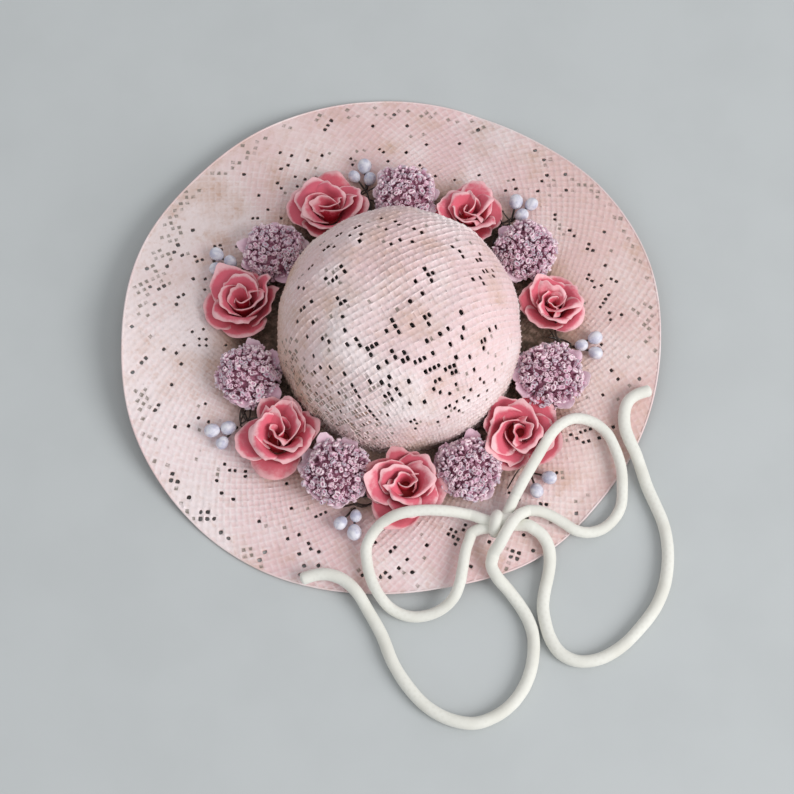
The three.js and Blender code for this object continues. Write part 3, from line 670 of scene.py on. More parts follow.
def cord_finish(settings):
    """Soft cotton braid: two crossing families of slanting ribs on the cord's own map."""
    finish = Finish("cotton_cord", 0.9)
    finish.shader.inputs["Sheen Weight"].default_value = 0.25
    finish.shader.inputs["Sheen Roughness"].default_value = 0.5
    place = finish.add("ShaderNodeUVMap", uv_map="along_and_round").outputs["UV"]
    parts = finish.add("ShaderNodeSeparateXYZ")
    finish.tree.links.new(place, parts.inputs[0])
    along = finish.times(parts.outputs["X"], math.tau / settings.braid)
    around = finish.times(parts.outputs["Y"], math.tau * 5)
    first = finish.maths("SINE", finish.plus(along, around))
    second = finish.maths("SINE", finish.maths("SUBTRACT", along, around))
    ribs = finish.maths("MAXIMUM", first, second)
    fluff = finish.noise(0.45 * MM, 4.0, 0.65)
    fluffed = finish.plus(ribs, finish.times(fluff, 0.8))
    groove = finish.between(fluffed, -0.3, 1.0, 0.22, 0.0)
    cloud = finish.between(finish.noise(9 * MM, 2.0), 0.4, 0.75, 0.0, 0.5)
    colour = finish.mix(finish.maths("MAXIMUM", groove, cloud), settings.ivory, settings.shade)
    normal = finish.bump(fluff, 0.07 * MM, 0.45, finish.bump(ribs, 0.02 * MM, 0.4))
    return finish.finish(colour, normal)


def floor_finish(settings):
    """Plain pale floor with faint clouds."""
    finish = Finish("pale_floor", 0.6)
    cloud = finish.between(finish.noise(0.03, 4.0), 0.35, 0.7, 0.0, 0.35)
    darker = tuple(0.9 * channel for channel in settings.floor_colour)
    return finish.finish(finish.mix(cloud, settings.floor_colour, darker))


def edge_value(column, azimuth):
    """One column of the brim's edge at any azimuth, by a closed Catmull-Rom curve through its rows."""
    table = np.array([getattr(row, column) for row in EDGE]) * MM
    turned = np.mod(azimuth, 360) / EDGE_STEP
    row = np.floor(turned).astype(int)
    t = turned - row
    a, b, c, d = [table[(row + k) % len(table)] for k in (-1, 0, 1, 2)]
    return b + 0.5 * t * (c - a + t * (2 * a - 5 * b + 4 * c - d + t * (3 * b - a - 3 * c + d)))


def brim_under(azimuth, radius):
    """Height of the brim's underside: level at the crown, then turning towards the edge's height with
    a power of the way out, and never below the floor."""
    reach = edge_value("radius", azimuth) - HEAD_RADIUS
    share = np.clip((radius - HEAD_RADIUS) / reach, 0, None)
    return np.maximum(FOOT_HEIGHT + (edge_value("lift", azimuth) - FOOT_HEIGHT) * share ** BRIM_CURVE, 0)


def polar(azimuth, radius):
    """Place at an azimuth in degrees and a distance, about the crown's axis."""
    angle = np.radians(azimuth)
    return AXIS + np.stack([radius * np.cos(angle), radius * np.sin(angle)], -1)


def seat(place, foot):
    """Highest point of the brim under a round foot."""
    angle = np.radians(np.arange(0, 360, 45))
    ring = place - AXIS + foot * np.stack([np.cos(angle), np.sin(angle)], -1)
    ring = np.vstack([place - AXIS, ring])
    azimuth = np.degrees(np.arctan2(ring[:, 1], ring[:, 0]))
    return np.max(brim_under(azimuth, np.hypot(ring[:, 0], ring[:, 1]))) + BRIM_CLOTH


def crown_curve():
    """The crown's outline from its top down to its foot: distance along the cloth, distance from the
    axis, height, and the two parts of the outward direction. It is a superellipse."""
    angle = np.linspace(math.pi / 2, 0, 4001)
    radius = CROWN_RADIUS * np.clip(np.cos(angle), 0, 1) ** (2 / CROWN_FULLNESS)
    height = CROWN_HEIGHT * np.sin(angle) ** (2 / CROWN_FULLNESS)
    radius[0] = 0
    along = np.concatenate([[0], np.cumsum(np.hypot(np.diff(radius), np.diff(height)))])
    out = (radius / CROWN_RADIUS) ** (CROWN_FULLNESS - 1) / CROWN_RADIUS
    up = (height / CROWN_HEIGHT) ** (CROWN_FULLNESS - 1) / CROWN_HEIGHT
    size = np.hypot(out, up)
    return along, radius, height, out / size, up / size


def listed(chart, rows, places):
    """Which cells, given by their rows and places, a weaving chart lists."""
    numbers = [1000 * row + place for row, some in chart.items() for place in some]
    return np.isin(1000 * rows + places, numbers)


def facing(bearing, azimuth, low, high):
    """1 on the side that faces an azimuth in degrees and 0 away from it, by the cosine between them."""
    return smooth_step(low, high, np.cos(bearing - math.radians(azimuth)))


def glue_share(bearing):
    """Less glue and painted shade between the flowers show in front, where the flowers stand closer."""
    return 1 - 0.6 * facing(bearing, FRONT_AZIMUTH, 0.8, 0.97)


def speckle(count, rng):
    """Small uneven wear of the paint from point to point."""
    return np.clip(rng.normal(0.02, 0.08, count), 0, 0.4)


def cell_random(line, other, rng):
    """One random number from 0 to 1 for each cell, at each of the cell's own points."""
    cell, beside = line // 3, other // 3
    table = rng.random((np.ptp(cell) + 1, np.ptp(beside) + 1))
    return table[cell - cell.min(), beside - beside.min()]


def drawn_in(position, line, other, hole, rng, settings):
    """Lines of one family, in pitches. The four points round a cell move towards its middle: a little
    round an open hole, and further where paint fills it, so that the strands beside it are broader."""
    share = cell_random(line, other, rng)
    share = np.where(hole, settings.rounding * share, settings.filling + 0.2 * share)
    share = (share + rng.uniform(-0.08, 0.08, line.shape)) * ((line % 3 > 0) & (other % 3 > 0))
    return position + share * (line // 3 + 0.5 - position)


def slow_patches(x, y, size):
    """A smooth uneven pattern from 0 to 1 whose patches are a few times the size."""
    x, y = x / size, y / size
    wave = np.sin(1.9 * x + 1.1 * np.sin(1.3 * y)) + np.sin(2.3 * y + 1.4 * np.sin(1.1 * x + 2))
    return smooth_step(-1.4, 1.6, wave + np.sin(1.2 * (x - y) + 1))


def weave_offsets(across, along, x, y, film, ridge, rng, settings):
    """Height of each weave point above the paint between strands. Lines come in threes: the middle of
    a strand and its two sides. A strand's middle stands up in a wave, over one crossing strand and
    under the next, and the four points round a cell sag. Thick paint evens this out in slow patches."""
    middle_a = across % 3 == 0
    middle_b = along % 3 == 0
    wave = np.cos(math.pi * (across + along) / 3)
    height = settings.relief * (0.7 - 0.3 * wave) * middle_a
    height = np.maximum(height, ridge * (0.7 + 0.3 * wave) * middle_b)
    height = height + settings.crossing * (middle_a & middle_b)
    height = height * (0.65 + 0.35 * slow_patches(x, y, settings.clogging))
    height = height - settings.sink * (~middle_a & ~middle_b) * (0.5 + 3 * film)
    return height + rng.normal(0, settings.relief * 0.15, height.shape)


class STRAWHAT_OT_camera(bpy.types.Operator):
    """Add the camera at the height and width of view that show the hat from above and in front"""

    bl_idname = "strawhat.camera"
    bl_label = "Camera"

    def execute(self, context):
        settings = context.scene.straw_stage
        back = Vector((0, -math.cos(settings.elevation), math.sin(settings.elevation)))
        data = bpy.data.cameras.new("camera")
        data.sensor_width = 36.0
        data.lens = data.sensor_width * settings.distance / settings.width
        data.clip_start = 0.01
        data.clip_end = 20.0
        camera = bpy.data.objects.new("camera", data)
        camera.location = Vector(settings.aim) + back * settings.distance
        camera.rotation_euler = (-back).to_track_quat("-Z", "Y").to_euler()
        context.scene.collection.objects.link(camera)
        context.scene.camera = camera
        return {"FINISHED"}


def smooth_path(points, step):
    """Centripetal Catmull-Rom curve through the points, resampled at even steps along it."""
    points = np.array(points, float)
    ends = [2 * points[0] - points[1], 2 * points[-1] - points[-2]]
    points = np.vstack([ends[0], points, ends[1]])
    gap = np.sqrt(np.linalg.norm(np.diff(points, axis=0), axis=1))[:, None]
    a, b, c, d = points[:-3], points[1:-2], points[2:-1], points[3:]
    before, here, after = gap[:-2], gap[1:-1], gap[2:]
    leave = ((b - a) / before - (c - a) / (before + here) + (c - b) / here) * here
    arrive = ((c - b) / here - (d - b) / (here + after) + (d - c) / after) * here
    t = np.linspace(0, 1, 24, endpoint=False)[None, :, None]
    b, c, leave, arrive = [x[:, None, :] for x in (b, c, leave, arrive)]
    square = 3 * (c - b) - 2 * leave - arrive
    cube = 2 * (b - c) + leave + arrive
    curve = b + leave * t + square * t ** 2 + cube * t ** 3
    curve = np.vstack([curve.reshape(-1, 3), points[-2]])
    along = np.concatenate([[0], np.cumsum(np.linalg.norm(np.diff(curve, axis=0), axis=1))])
    even = np.linspace(0, along[-1], max(int(round(along[-1] / step)), 3) + 1)
    return np.stack([np.interp(even, along, curve[:, k]) for k in range(3)], 1), even


def tube(path, along, radius, sides=20, end_rings=4):
    """A round section carried along a path. At each end a few rings draw in over part of a quarter
    circle, and a flat face closes the last. The section's side direction stays level."""
    tangent = np.gradient(path, axis=0)
    tangent /= np.linalg.norm(tangent, axis=1)[:, None]
    side = np.cross(tangent, [0, 0, 1.0])
    side /= np.linalg.norm(side, axis=1)[:, None]
    radius = np.broadcast_to(radius, along.shape)
    turn = np.linspace(math.pi / 2, 0, end_rings, endpoint=False) * END_ROUND
    draw = np.cos(turn)
    push = END_BLUNT * np.sin(turn)
    centre = np.vstack([
        path[0] - tangent[0] * (push * radius[0])[:, None],
        path,
        (path[-1] + tangent[-1] * (push * radius[-1])[:, None])[::-1],
    ])
    size = np.concatenate([radius[0] * draw, radius, (radius[-1] * draw)[::-1]])
    place = np.concatenate([along[0] - push * radius[0], along, (along[-1] + push * radius[-1])[::-1]])
    side, tangent = [
        np.vstack([np.repeat(way[:1], end_rings, 0), way, np.repeat(way[-1:], end_rings, 0)])
        for way in (side, tangent)
    ]
    up = np.cross(side, tangent)
    angle = (np.arange(sides) * math.tau / sides)[None, :, None]
    ring = np.cos(angle) * side[:, None, :] + np.sin(angle) * up[:, None, :]
    points = centre[:, None, :] + size[:, None, None] * ring
    rings = len(centre)
    around = np.arange(sides)
    i = np.repeat(np.arange(rings - 1), sides)
    j = np.tile(around, rings - 1)
    turns = np.stack([j, j + 1, j + 1, j], 1) / sides
    lengths = np.stack([place[i], place[i], place[i + 1], place[i + 1]], 1)
    cap_turns = np.stack([around[::-1], around]) / sides
    cap_lengths = np.repeat([[place[0]], [place[-1]]], sides, axis=1)
    maps = [np.stack([lengths, turns], -1), np.stack([cap_lengths, cap_turns], -1)]
    return Surface(points.reshape(-1, 3), ringed_faces(rings, sides), {}, maps)


class STRAWHAT_OT_cords(bpy.types.Operator):
    """Add the bow: two loops and two tails of soft cord, and the knot that they leave"""

    bl_idname = "strawhat.cords"
    bl_label = "Cord bow"

    def execute(self, context):
        settings = context.scene.straw_cord
        rng = np.random.default_rng(11)
        material = cord_finish(settings)
        knot = add_piece("bow_knot", self.knot(settings), material, ["cord_knot"])
        for node, route in ROUTES.items():
            path, along = smooth_path(route, 1.0 * MM)
            wander = np.convolve(rng.normal(0, 1, len(along) + 6), np.ones(7) / 7, "valid")
            tail = node.endswith("tail")
            diameter = settings.diameter * (1 if tail else settings.drawn)
            radius = diameter / 2 * (1 + settings.unevenness * np.clip(wander * 1.6, -1.5, 1.5))
            surface = tube(path, along, radius)
            piece = add_piece(node.replace("cord", "bow"), surface, material, [node])
        return {"FINISHED"}

    def knot(self, settings):
        """A lump of crossing strands: the ends of the loops and tails run on into it over a thick
        core, and an upright turn of cord is wrapped round its left side."""
        radius = settings.diameter / 2
        parts = [tube(*smooth_path(KNOT_CORE, 0.5 * MM), 1.45 * radius)]
        for strand in KNOT_STRANDS:
            route = np.array(ROUTES[strand.node])
            tip, before = (route[0], route[1]) if strand.end == 0 else (route[-1], route[-2])
            inwards = 0.6 * MM * (tip - before) / np.linalg.norm(tip - before)
            path, along = smooth_path([tip - inwards, tip + inwards, *strand.way], 0.5 * MM)
            near = 1.01 * (1 if strand.node.endswith("tail") else settings.drawn)
            parts.append(tube(path, along, radius * np.linspace(near, strand.far, len(along))))
        turn = np.linspace(-0.35 * math.pi, 1.35 * math.pi, 24)[:, None]
        band = KNOT_WRAP + MM * np.cos(turn) * [0.6, 2.4, 0.0] + MM * np.sin(turn) * [0.0, 0.0, 2.5]
        band[:, :1] += 0.5 * MM * (turn / math.pi - 0.5)
        parts.append(tube(*smooth_path(band, 0.5 * MM), radius * 0.95))
        return merge(parts)


class STRAWHAT_OT_crown(bpy.types.Operator):
    """Add the crown: one piece of woven cloth drawn over a dome, with unfilled holes in clusters"""

    bl_idname = "strawhat.crown"
    bl_label = "Crown"

    def weave(self, foot, settings, rng):
        """Points of the flat cloth about its middle, three lines to a strand and a little uneven, and
        which of them belong to open cells, to cells with a film and to the loose threads."""
        cross =settings.cross_width / settings.cross_pitch / 2
        row = settings.row_width / settings.row_pitch / 2
        half_i = 3 * int(foot / settings.cross_pitch + 2)
        half_j = 3 * int(foot / settings.row_pitch + 2)
        i, j = np.meshgrid(np.arange(-half_i, half_i + 1), np.arange(-half_j, half_j + 1), indexing="ij")
        x = np.floor_divide(i, 3) + np.array([0, cross, 1 - cross])[i % 3]
        y = np.floor_divide(j, 3) + np.array([0, row, 1 - row])[j % 3]
        hole = listed(CROWN_HOLES, j // 3, i // 3)
        loose = self.loose(settings.cross_pitch * x, settings.row_pitch * y, foot, settings)
        film = listed(CROWN_FILM, j // 3, i // 3) | (cell_random(i, j, rng) < settings.stray + 0.5 * loose)
        film = (film & ~hole & (i % 3 > 0) & (j % 3 > 0)) * (1 + loose)
        x = settings.cross_pitch * drawn_in(x, i, j, hole, rng, settings)
        y = settings.row_pitch * drawn_in(y, j, i, hole, rng, settings)
        x = x + rng.normal(0, settings.unevenness, x.shape)
        y = y + rng.normal(0, settings.unevenness, y.shape) + self.sway(x, y)
        return [grid.ravel() for grid in (i, j, x, y, hole, film, loose)], i.shape

    def cut(self, i, j, hole, distance, shape, foot):
        """The quads of the cloth inside the foot, the quads of its open holes, and each point's
        distance along the cloth. Border points, where fewer than four quads meet, go to the foot."""
        quads = grid_faces(*shape)
        middle = distance[quads].mean(1)
        first = quads[:, 0]
        open_quad = (i[first] % 3 == 1) & (j[first] % 3 == 1) & hole[first] & (middle < foot - 3 * MM)
        kept = (middle < foot) & ~open_quad
        near = quads[kept & (middle > foot - 6 * MM)]
        quads, holes = quads[kept], quads[open_quad]
        edge = np.zeros(len(distance), bool)
        edge[near.ravel()] = True
        edge[holes.ravel()] = False
        edge &= np.bincount(quads.ravel(), minlength=len(distance)) < 4
        return quads, holes, np.where(edge, foot, np.minimum(distance, foot))

    def execute(self, context):
        settings = context.scene.straw_cloth
        rng = np.random.default_rng(21)
        along, radius, height, out, up = crown_curve()
        foot = along[-1]
        (i, j, x, y, hole, film, loose), shape = self.weave(foot, settings, rng)
        bearing = np.arctan2(y, x) + settings.row_turn
        quads, holes, place = self.cut(i, j, hole, np.hypot(x, y), shape, foot)
        out, up = np.interp(place, along, out), np.interp(place, along, up)
        normal = np.stack([out * np.cos(bearing), out * np.sin(bearing), up], 1)
        ring = np.interp(place, along, radius)
        flat = np.stack([ring * np.cos(bearing), ring * np.sin(bearing)], 1) + AXIS
        skin = np.column_stack([flat, CROWN_LOW.z + np.interp(place, along, height)])
        offset = weave_offsets(i, j, x, y, film, settings.ridge, rng, settings)
        offset = offset + rng.normal(0, LOOSE_HEIGHT, len(place)) * loose
        lumps = settings.lump * (slow_patches(flat[:, 0], flat[:, 1], 5 * MM) - 0.5)
        top = skin + normal * (offset - settings.ridge + lumps)[:, None]
        bottom = skin - normal * (settings.thickness + 0.4 * offset - lumps)[:, None]
        strand = np.clip((offset + settings.sink) / (settings.ridge + settings.sink), 0, 1.2)
        # Painted shade: browner low on the wall towards the foot, and on the wall on the side away from the
        # light.
        low = smooth_step(foot - 18 * MM, foot - 6 * MM, place)
        worn_and_shaded = smooth_step(foot - 30 * MM, foot - 16 * MM, place) * facing(bearing, WORN_AND_SHADED_AZIMUTH, 0.3, 0.9)
        values = {
            "strand": strand, "film": film,
            "tone": speckle(len(place), rng) + 0.2 * low + 0.68 * worn_and_shaded,
            # Glue and painted shade at the crown's foot, under the flowers.
            "glue": 0.8 * smooth_step(foot - 6 * MM, foot - 2 * MM, place) * glue_share(bearing),
            # Paler towards the front, on the side the light falls on: painted light.
            "pale": 0.2 + 0.2 * smooth_step(0, 25 * MM, -flat[:, 1]),
        }
        surface = merge([shell(top, bottom, quads, values), corner_fills(top, bottom, holes, values, rng)])
        add_piece("crown_weave", surface, straw_finish(settings), ["crown"])
        return {"FINISHED"}

    def loose(self, x, y, foot, settings):
        """1 on the part of the crown's front left side whose threads lie loose, and 0 elsewhere."""
        turned = facing(np.arctan2(y, x) + settings.row_turn, LOOSE_AZIMUTH, 0.72, 0.96)
        return turned * smooth_step(0.5 * foot, 0.72 * foot, np.hypot(x, y))

    def sway(self, x, y):
        """Rows of real cloth aren't straight: two slow waves move them by part of a millimetre."""
        return 0.5 * MM * np.sin(x / (11 * MM)) + 0.35 * MM * np.sin(x / (5 * MM) + y / (9 * MM))


class STRAWHAT_OT_brim(bpy.types.Operator):
    """Add the brim: two slanting families of strands that spiral out to a wavy edge with a thin hem"""

    bl_idname = "strawhat.brim"
    bl_label = "Brim"

    def weave(self, settings, rng):
        """Points of the cloth, three lines to a strand and a little uneven. The logarithm of the
        distance from the axis grows with the difference of the two families' numbers, and the azimuth
        with their sum, so strands run at 45 degrees to the radius."""
        strands = settings.brim_strands
        lines = 3 * strands
        reach = math.log(max(row.radius for row in EDGE) * MM / HEAD_RADIUS)
        deep = int(lines * reach / math.pi) + 6
        spread, place = np.meshgrid(np.arange(-3, deep), np.arange(lines), indexing="ij")
        first, second = place + spread, place
        part = settings.brim_strand_share
        offsets = np.array([0, part, 1 - part])
        ring, strand = first // 3 - second // 3, second // 3
        hole = listed(BRIM_HOLES, ring, strand)
        film = listed(BRIM_FILM, ring, strand) | (cell_random(first, second, rng) < settings.stray)
        film = (film & ~hole & (first % 3 > 0) & (second % 3 > 0)).astype(float)
        a = drawn_in(first // 3 + offsets[first % 3], first, second, hole, rng, settings)
        b = drawn_in(second // 3 + offsets[second % 3], second, first, hole, rng, settings)
        a = a + rng.normal(0, settings.unevenness / BRIM_CELL, a.shape)
        b = b + rng.normal(0, settings.unevenness / BRIM_CELL, b.shape)
        radius = HEAD_RADIUS * np.exp(math.pi * (a - b) / strands)
        azimuth = np.degrees(math.pi * (a + b) / strands)
        return [grid.ravel() for grid in (first, second, hole, film, radius, azimuth)], spread.shape

    def cut(self, first, second, hole, radius, azimuth, shape):
        """The quads between head opening and edge, the quads of open holes, the distance of each kept
        quad from the axis, and that of each point with both borders drawn to their lines."""
        quads = self.quads(shape)
        whole = np.degrees(np.unwrap(np.radians(azimuth[quads]), axis=1))
        centre_azimuth, centre_radius = whole.mean(1), radius[quads].mean(1)
        edge = edge_value("radius", centre_azimuth)
        inside = (centre_radius > HEAD_RADIUS) & (centre_radius < edge)
        solid_rim = (centre_radius < HEAD_RADIUS + 3 * MM) | (centre_radius > edge - 2.2 * MM)
        corner = quads[:, 0]
        cell = (first[corner] % 3 == 1) & (second[corner] % 3 == 1) & ~solid_rim
        open_cell = cell & inside & hole[corner]
        holes = quads[open_cell]
        kept = inside & ~open_cell
        quads, centre_radius, edge = quads[kept], centre_radius[kept], edge[kept]
        return quads, holes, centre_radius, self.snap(quads, radius, azimuth, centre_radius, edge, holes)

    def execute(self, context):
        settings = context.scene.straw_cloth
        rng = np.random.default_rng(31)
        (first, second, hole, film, radius, azimuth), shape = self.weave(settings, rng)
        quads, holes, centre_radius, radius = self.cut(first, second, hole, radius, azimuth, shape)
        level = self.swell(azimuth, radius)
        under = brim_under(azimuth, radius)
        bearing = np.radians(azimuth)
        flat = polar(azimuth, radius)
        x, y = flat[:, 0], flat[:, 1]
        offset = weave_offsets(first, second, x, y, film, settings.relief, rng, settings)
        thick = facing(bearing, THICK_AZIMUTH, 0.5, 0.95) * smooth_step(44 * MM, 54 * MM, radius)
        offset = offset * (1 - 0.8 * thick * slow_patches(x + 9 * MM, y, 2 * settings.clogging))
        top_height = under + BRIM_CLOTH + offset - settings.relief + level
        low_height = under + BRIM_CLOTH - settings.thickness - 0.4 * offset + level
        top = np.column_stack([flat, top_height])
        bottom = np.column_stack([flat, np.maximum(low_height, FLOOR_GAP)])
        strand = np.clip((offset + settings.sink) / (settings.relief + settings.sink), 0, 1.2)
        # Near the crown, under the wreath, where painted shade is added.
        near = smooth_step(60 * MM, 50 * MM, radius)
        # Browner towards the right.
        right = smooth_step(20 * MM, 60 * MM, x)
        values = {
            "strand": strand, "film": film,
            # Browner with painted shade under the wreath and where the crown's shadow falls on the thick
            # patch, browner towards the right, and with small uneven wear.
            "tone": speckle(len(x), rng) + 0.8 * near + 0.3 * right + 0.15 * thick,
            # Glue and painted shade under the wreath.
            "glue": 0.95 * smooth_step(53 * MM, 46 * MM, radius) * glue_share(bearing),
            # Paler towards the left, where the brim faces the light: painted light.
            "pale": 0.8 * smooth_step(25 * MM, 65 * MM, -x),
        }
        finish = straw_finish(settings)
        split = centre_radius < BRIM_SPLIT
        inner = shell(top, bottom, quads[split], values)
        fills = corner_fills(top, bottom, holes, values, rng)
        outer = merge([shell(top, bottom, quads[~split], values), fills, self.hem(settings)])
        add_piece("brim_inner_weave", inner, finish, ["brim"])
        add_piece("brim_outer_weave", outer, finish, ["brim"])
        return {"FINISHED"}

    def quads(self, shape):
        """Quads of the slanting grid. A step of the first family raises the spread by one, and a step
        of the second raises the place and lowers the spread, and the last place meets the first."""
        lines = shape[1]
        spread, place = np.meshgrid(np.arange(1, shape[0] - 1), np.arange(lines), indexing="ij")
        spread, place = spread.ravel(), place.ravel()
        after = (place + 1) % lines
        here = spread * lines + place
        return np.stack([
            here,
            (spread + 1) * lines + place,
            spread * lines + after,
            (spread - 1) * lines + after,
        ], 1)

    def snap(self, quads, radius, azimuth, centre_radius, edge, holes):
        """Bring the border points of the kept quads onto the head opening and the edge, but not the
        points round a hole."""
        uses = np.bincount(quads.ravel(), minlength=len(radius))
        outer = np.zeros(len(radius), bool)
        outer[quads[centre_radius > edge - 3 * MM].ravel()] = True
        outer[holes.ravel()] = False
        inner = np.zeros(len(radius), bool)
        inner[quads[centre_radius < HEAD_RADIUS + 2 * MM].ravel()] = True
        limit = edge_value("radius", azimuth) - 0.25 * MM
        radius = np.where(outer & (uses < 4) & (uses > 0), limit, radius)
        radius = np.where(inner & (uses < 4) & (uses > 0), HEAD_RADIUS, radius)
        return np.clip(radius, HEAD_RADIUS, limit)

    def swell(self, azimuth, radius):
        """Small waves of the stiff cloth, nothing at the crown."""
        turn = np.radians(azimuth)
        share = np.clip((radius - HEAD_RADIUS) / (40 * MM), 0, 1)
        wave = np.sin(7 * turn + radius / (9 * MM)) + 0.7 * np.sin(13 * turn - radius / (6 * MM))
        return SWELL_HEIGHT * share * wave

    def hem(self, settings):
        """The turned edge: a round section carried along the brim's edge and closed on itself."""
        count, sides = 360, 8
        azimuth = np.arange(count) * 360 / count
        angle = np.arange(sides) * math.tau / sides
        edge = edge_value("radius", azimuth)
        radius = edge[:, None] - settings.hem + settings.hem * np.cos(angle)
        middle = brim_under(azimuth, edge - settings.hem) + BRIM_CLOTH - settings.hem
        height = (middle + self.swell(azimuth, edge))[:, None] + settings.hem * np.sin(angle)
        height = np.maximum(height, FLOOR_GAP)
        points = np.concatenate([polar(azimuth[:, None], radius), height[..., None]], -1)
        faces = grid_faces(count + 1, sides, round_columns=True)
        faces = np.where(faces >= count * sides, faces - count * sides, faces)[:, ::-1]
        values = steady(count * sides, strand=0.5, tone=0.1, film=0, glue=0, pale=0.3)
        values["under"] = np.tile((np.sin(angle) < -0.5).astype(float), count)
        return Surface(points.reshape(-1, 3), [faces], values)


def petal(middle, whorl, size, paper, ripple, rng, across=19, along=15):
    """A petal as a function of u across (-1 to 1) and v along (0 at the root). Going out, the sheet
    leans from its stand to its lean angle and its rim curls over; a step sideways goes round a circle
    whose radius is the distance from the middle times the wrap; the rim ripples in and out."""
    u = np.linspace(-1, 1, across)[None, :]
    v = np.linspace(0, 1, along)[:, None]
    length = whorl.length * MM * size * rng.uniform(0.93, 1.07)
    width = whorl.width * MM * size * rng.uniform(0.93, 1.07)
    stand = math.radians(whorl.stand + rng.uniform(-5, 5))
    lean = math.radians(whorl.lean + rng.uniform(-12, 12))
    curl = math.radians(whorl.curl * rng.uniform(0.3, 1.5))
    angle = stand + (lean - stand) * v ** 1.2 - curl * smooth_step(0.72, 1.05, v)
    steps = length / (along - 1)
    outwards = np.concatenate([[0], np.cumsum(np.cos(angle[:-1, 0]) * steps)])[:, None]
    upwards = np.concatenate([[0], np.cumsum(np.sin(angle[:-1, 0]) * steps)])[:, None]
    droop = 1 - 0.26 * np.abs(u) ** 2.2
    broad = 0.4 + 0.6 * np.sin(math.pi / 2 * np.clip(v * 1.4, 0, 1))
    half = width / 2 * broad * (1 - 0.16 * smooth_step(0.7, 1, v))
    edge = np.maximum(np.abs(u), v * np.ones_like(u))
    phase = rng.uniform(0, math.tau, 3)
    wave = np.sin(2.6 * u + phase[0]) + 0.55 * np.sin(5.2 * u + 2 * v + phase[1])
    wave = wave + 0.32 * np.sin(10 * u + phase[2])
    stray = ripple * size * wave * smooth_step(0.35, 1.0, edge) * smooth_step(0.2, 0.8, v)
    rim = smooth_step(0.74, 1.0, edge + 0.04 * wave)
    turned = smooth_step(0.75, 1.0, np.abs(u)) * smooth_step(0.3, 0.9, v)
    side = (whorl.skew * u * v + 0.7 * turned) * MM * size
    reach = (whorl.root * MM * size + outwards * droop) + side * np.sin(lean) + stray * np.sin(lean)
    height = upwards * droop + stray * np.cos(lean) + side * np.cos(lean) * 0.6
    bow = np.maximum(reach, 1.2 * MM) * whorl.wrap
    round_it = np.clip(u * half / bow, -2.6, 2.6)
    x = reach - bow * (1 - np.cos(round_it))
    y = bow * np.sin(round_it)
    c, s = math.cos(middle), math.sin(middle)
    sheet = np.stack([c * x - s * y, s * x + c * y, height + 0 * x], -1)
    du = np.gradient(sheet, axis=1)
    dv = np.gradient(sheet, axis=0)
    normal = np.cross(dv, du)
    normal /= np.maximum(np.linalg.norm(normal, axis=-1, keepdims=True), 1e-12)
    half_paper = 0.5 * paper * (1 - 0.45 * rim)[..., None] * normal
    return sheet - half_paper, sheet + half_paper, np.broadcast_to(v, edge.shape), rim


def paper_sheet(inner, outer, lift, values):
    """A petal's two sides, moved up, as a closed sheet."""
    quads = grid_faces(*inner.shape[:2])[:, ::-1]
    return shell(inner.reshape(-1, 3) + [0, 0, lift], outer.reshape(-1, 3) + [0, 0, lift], quads, values)


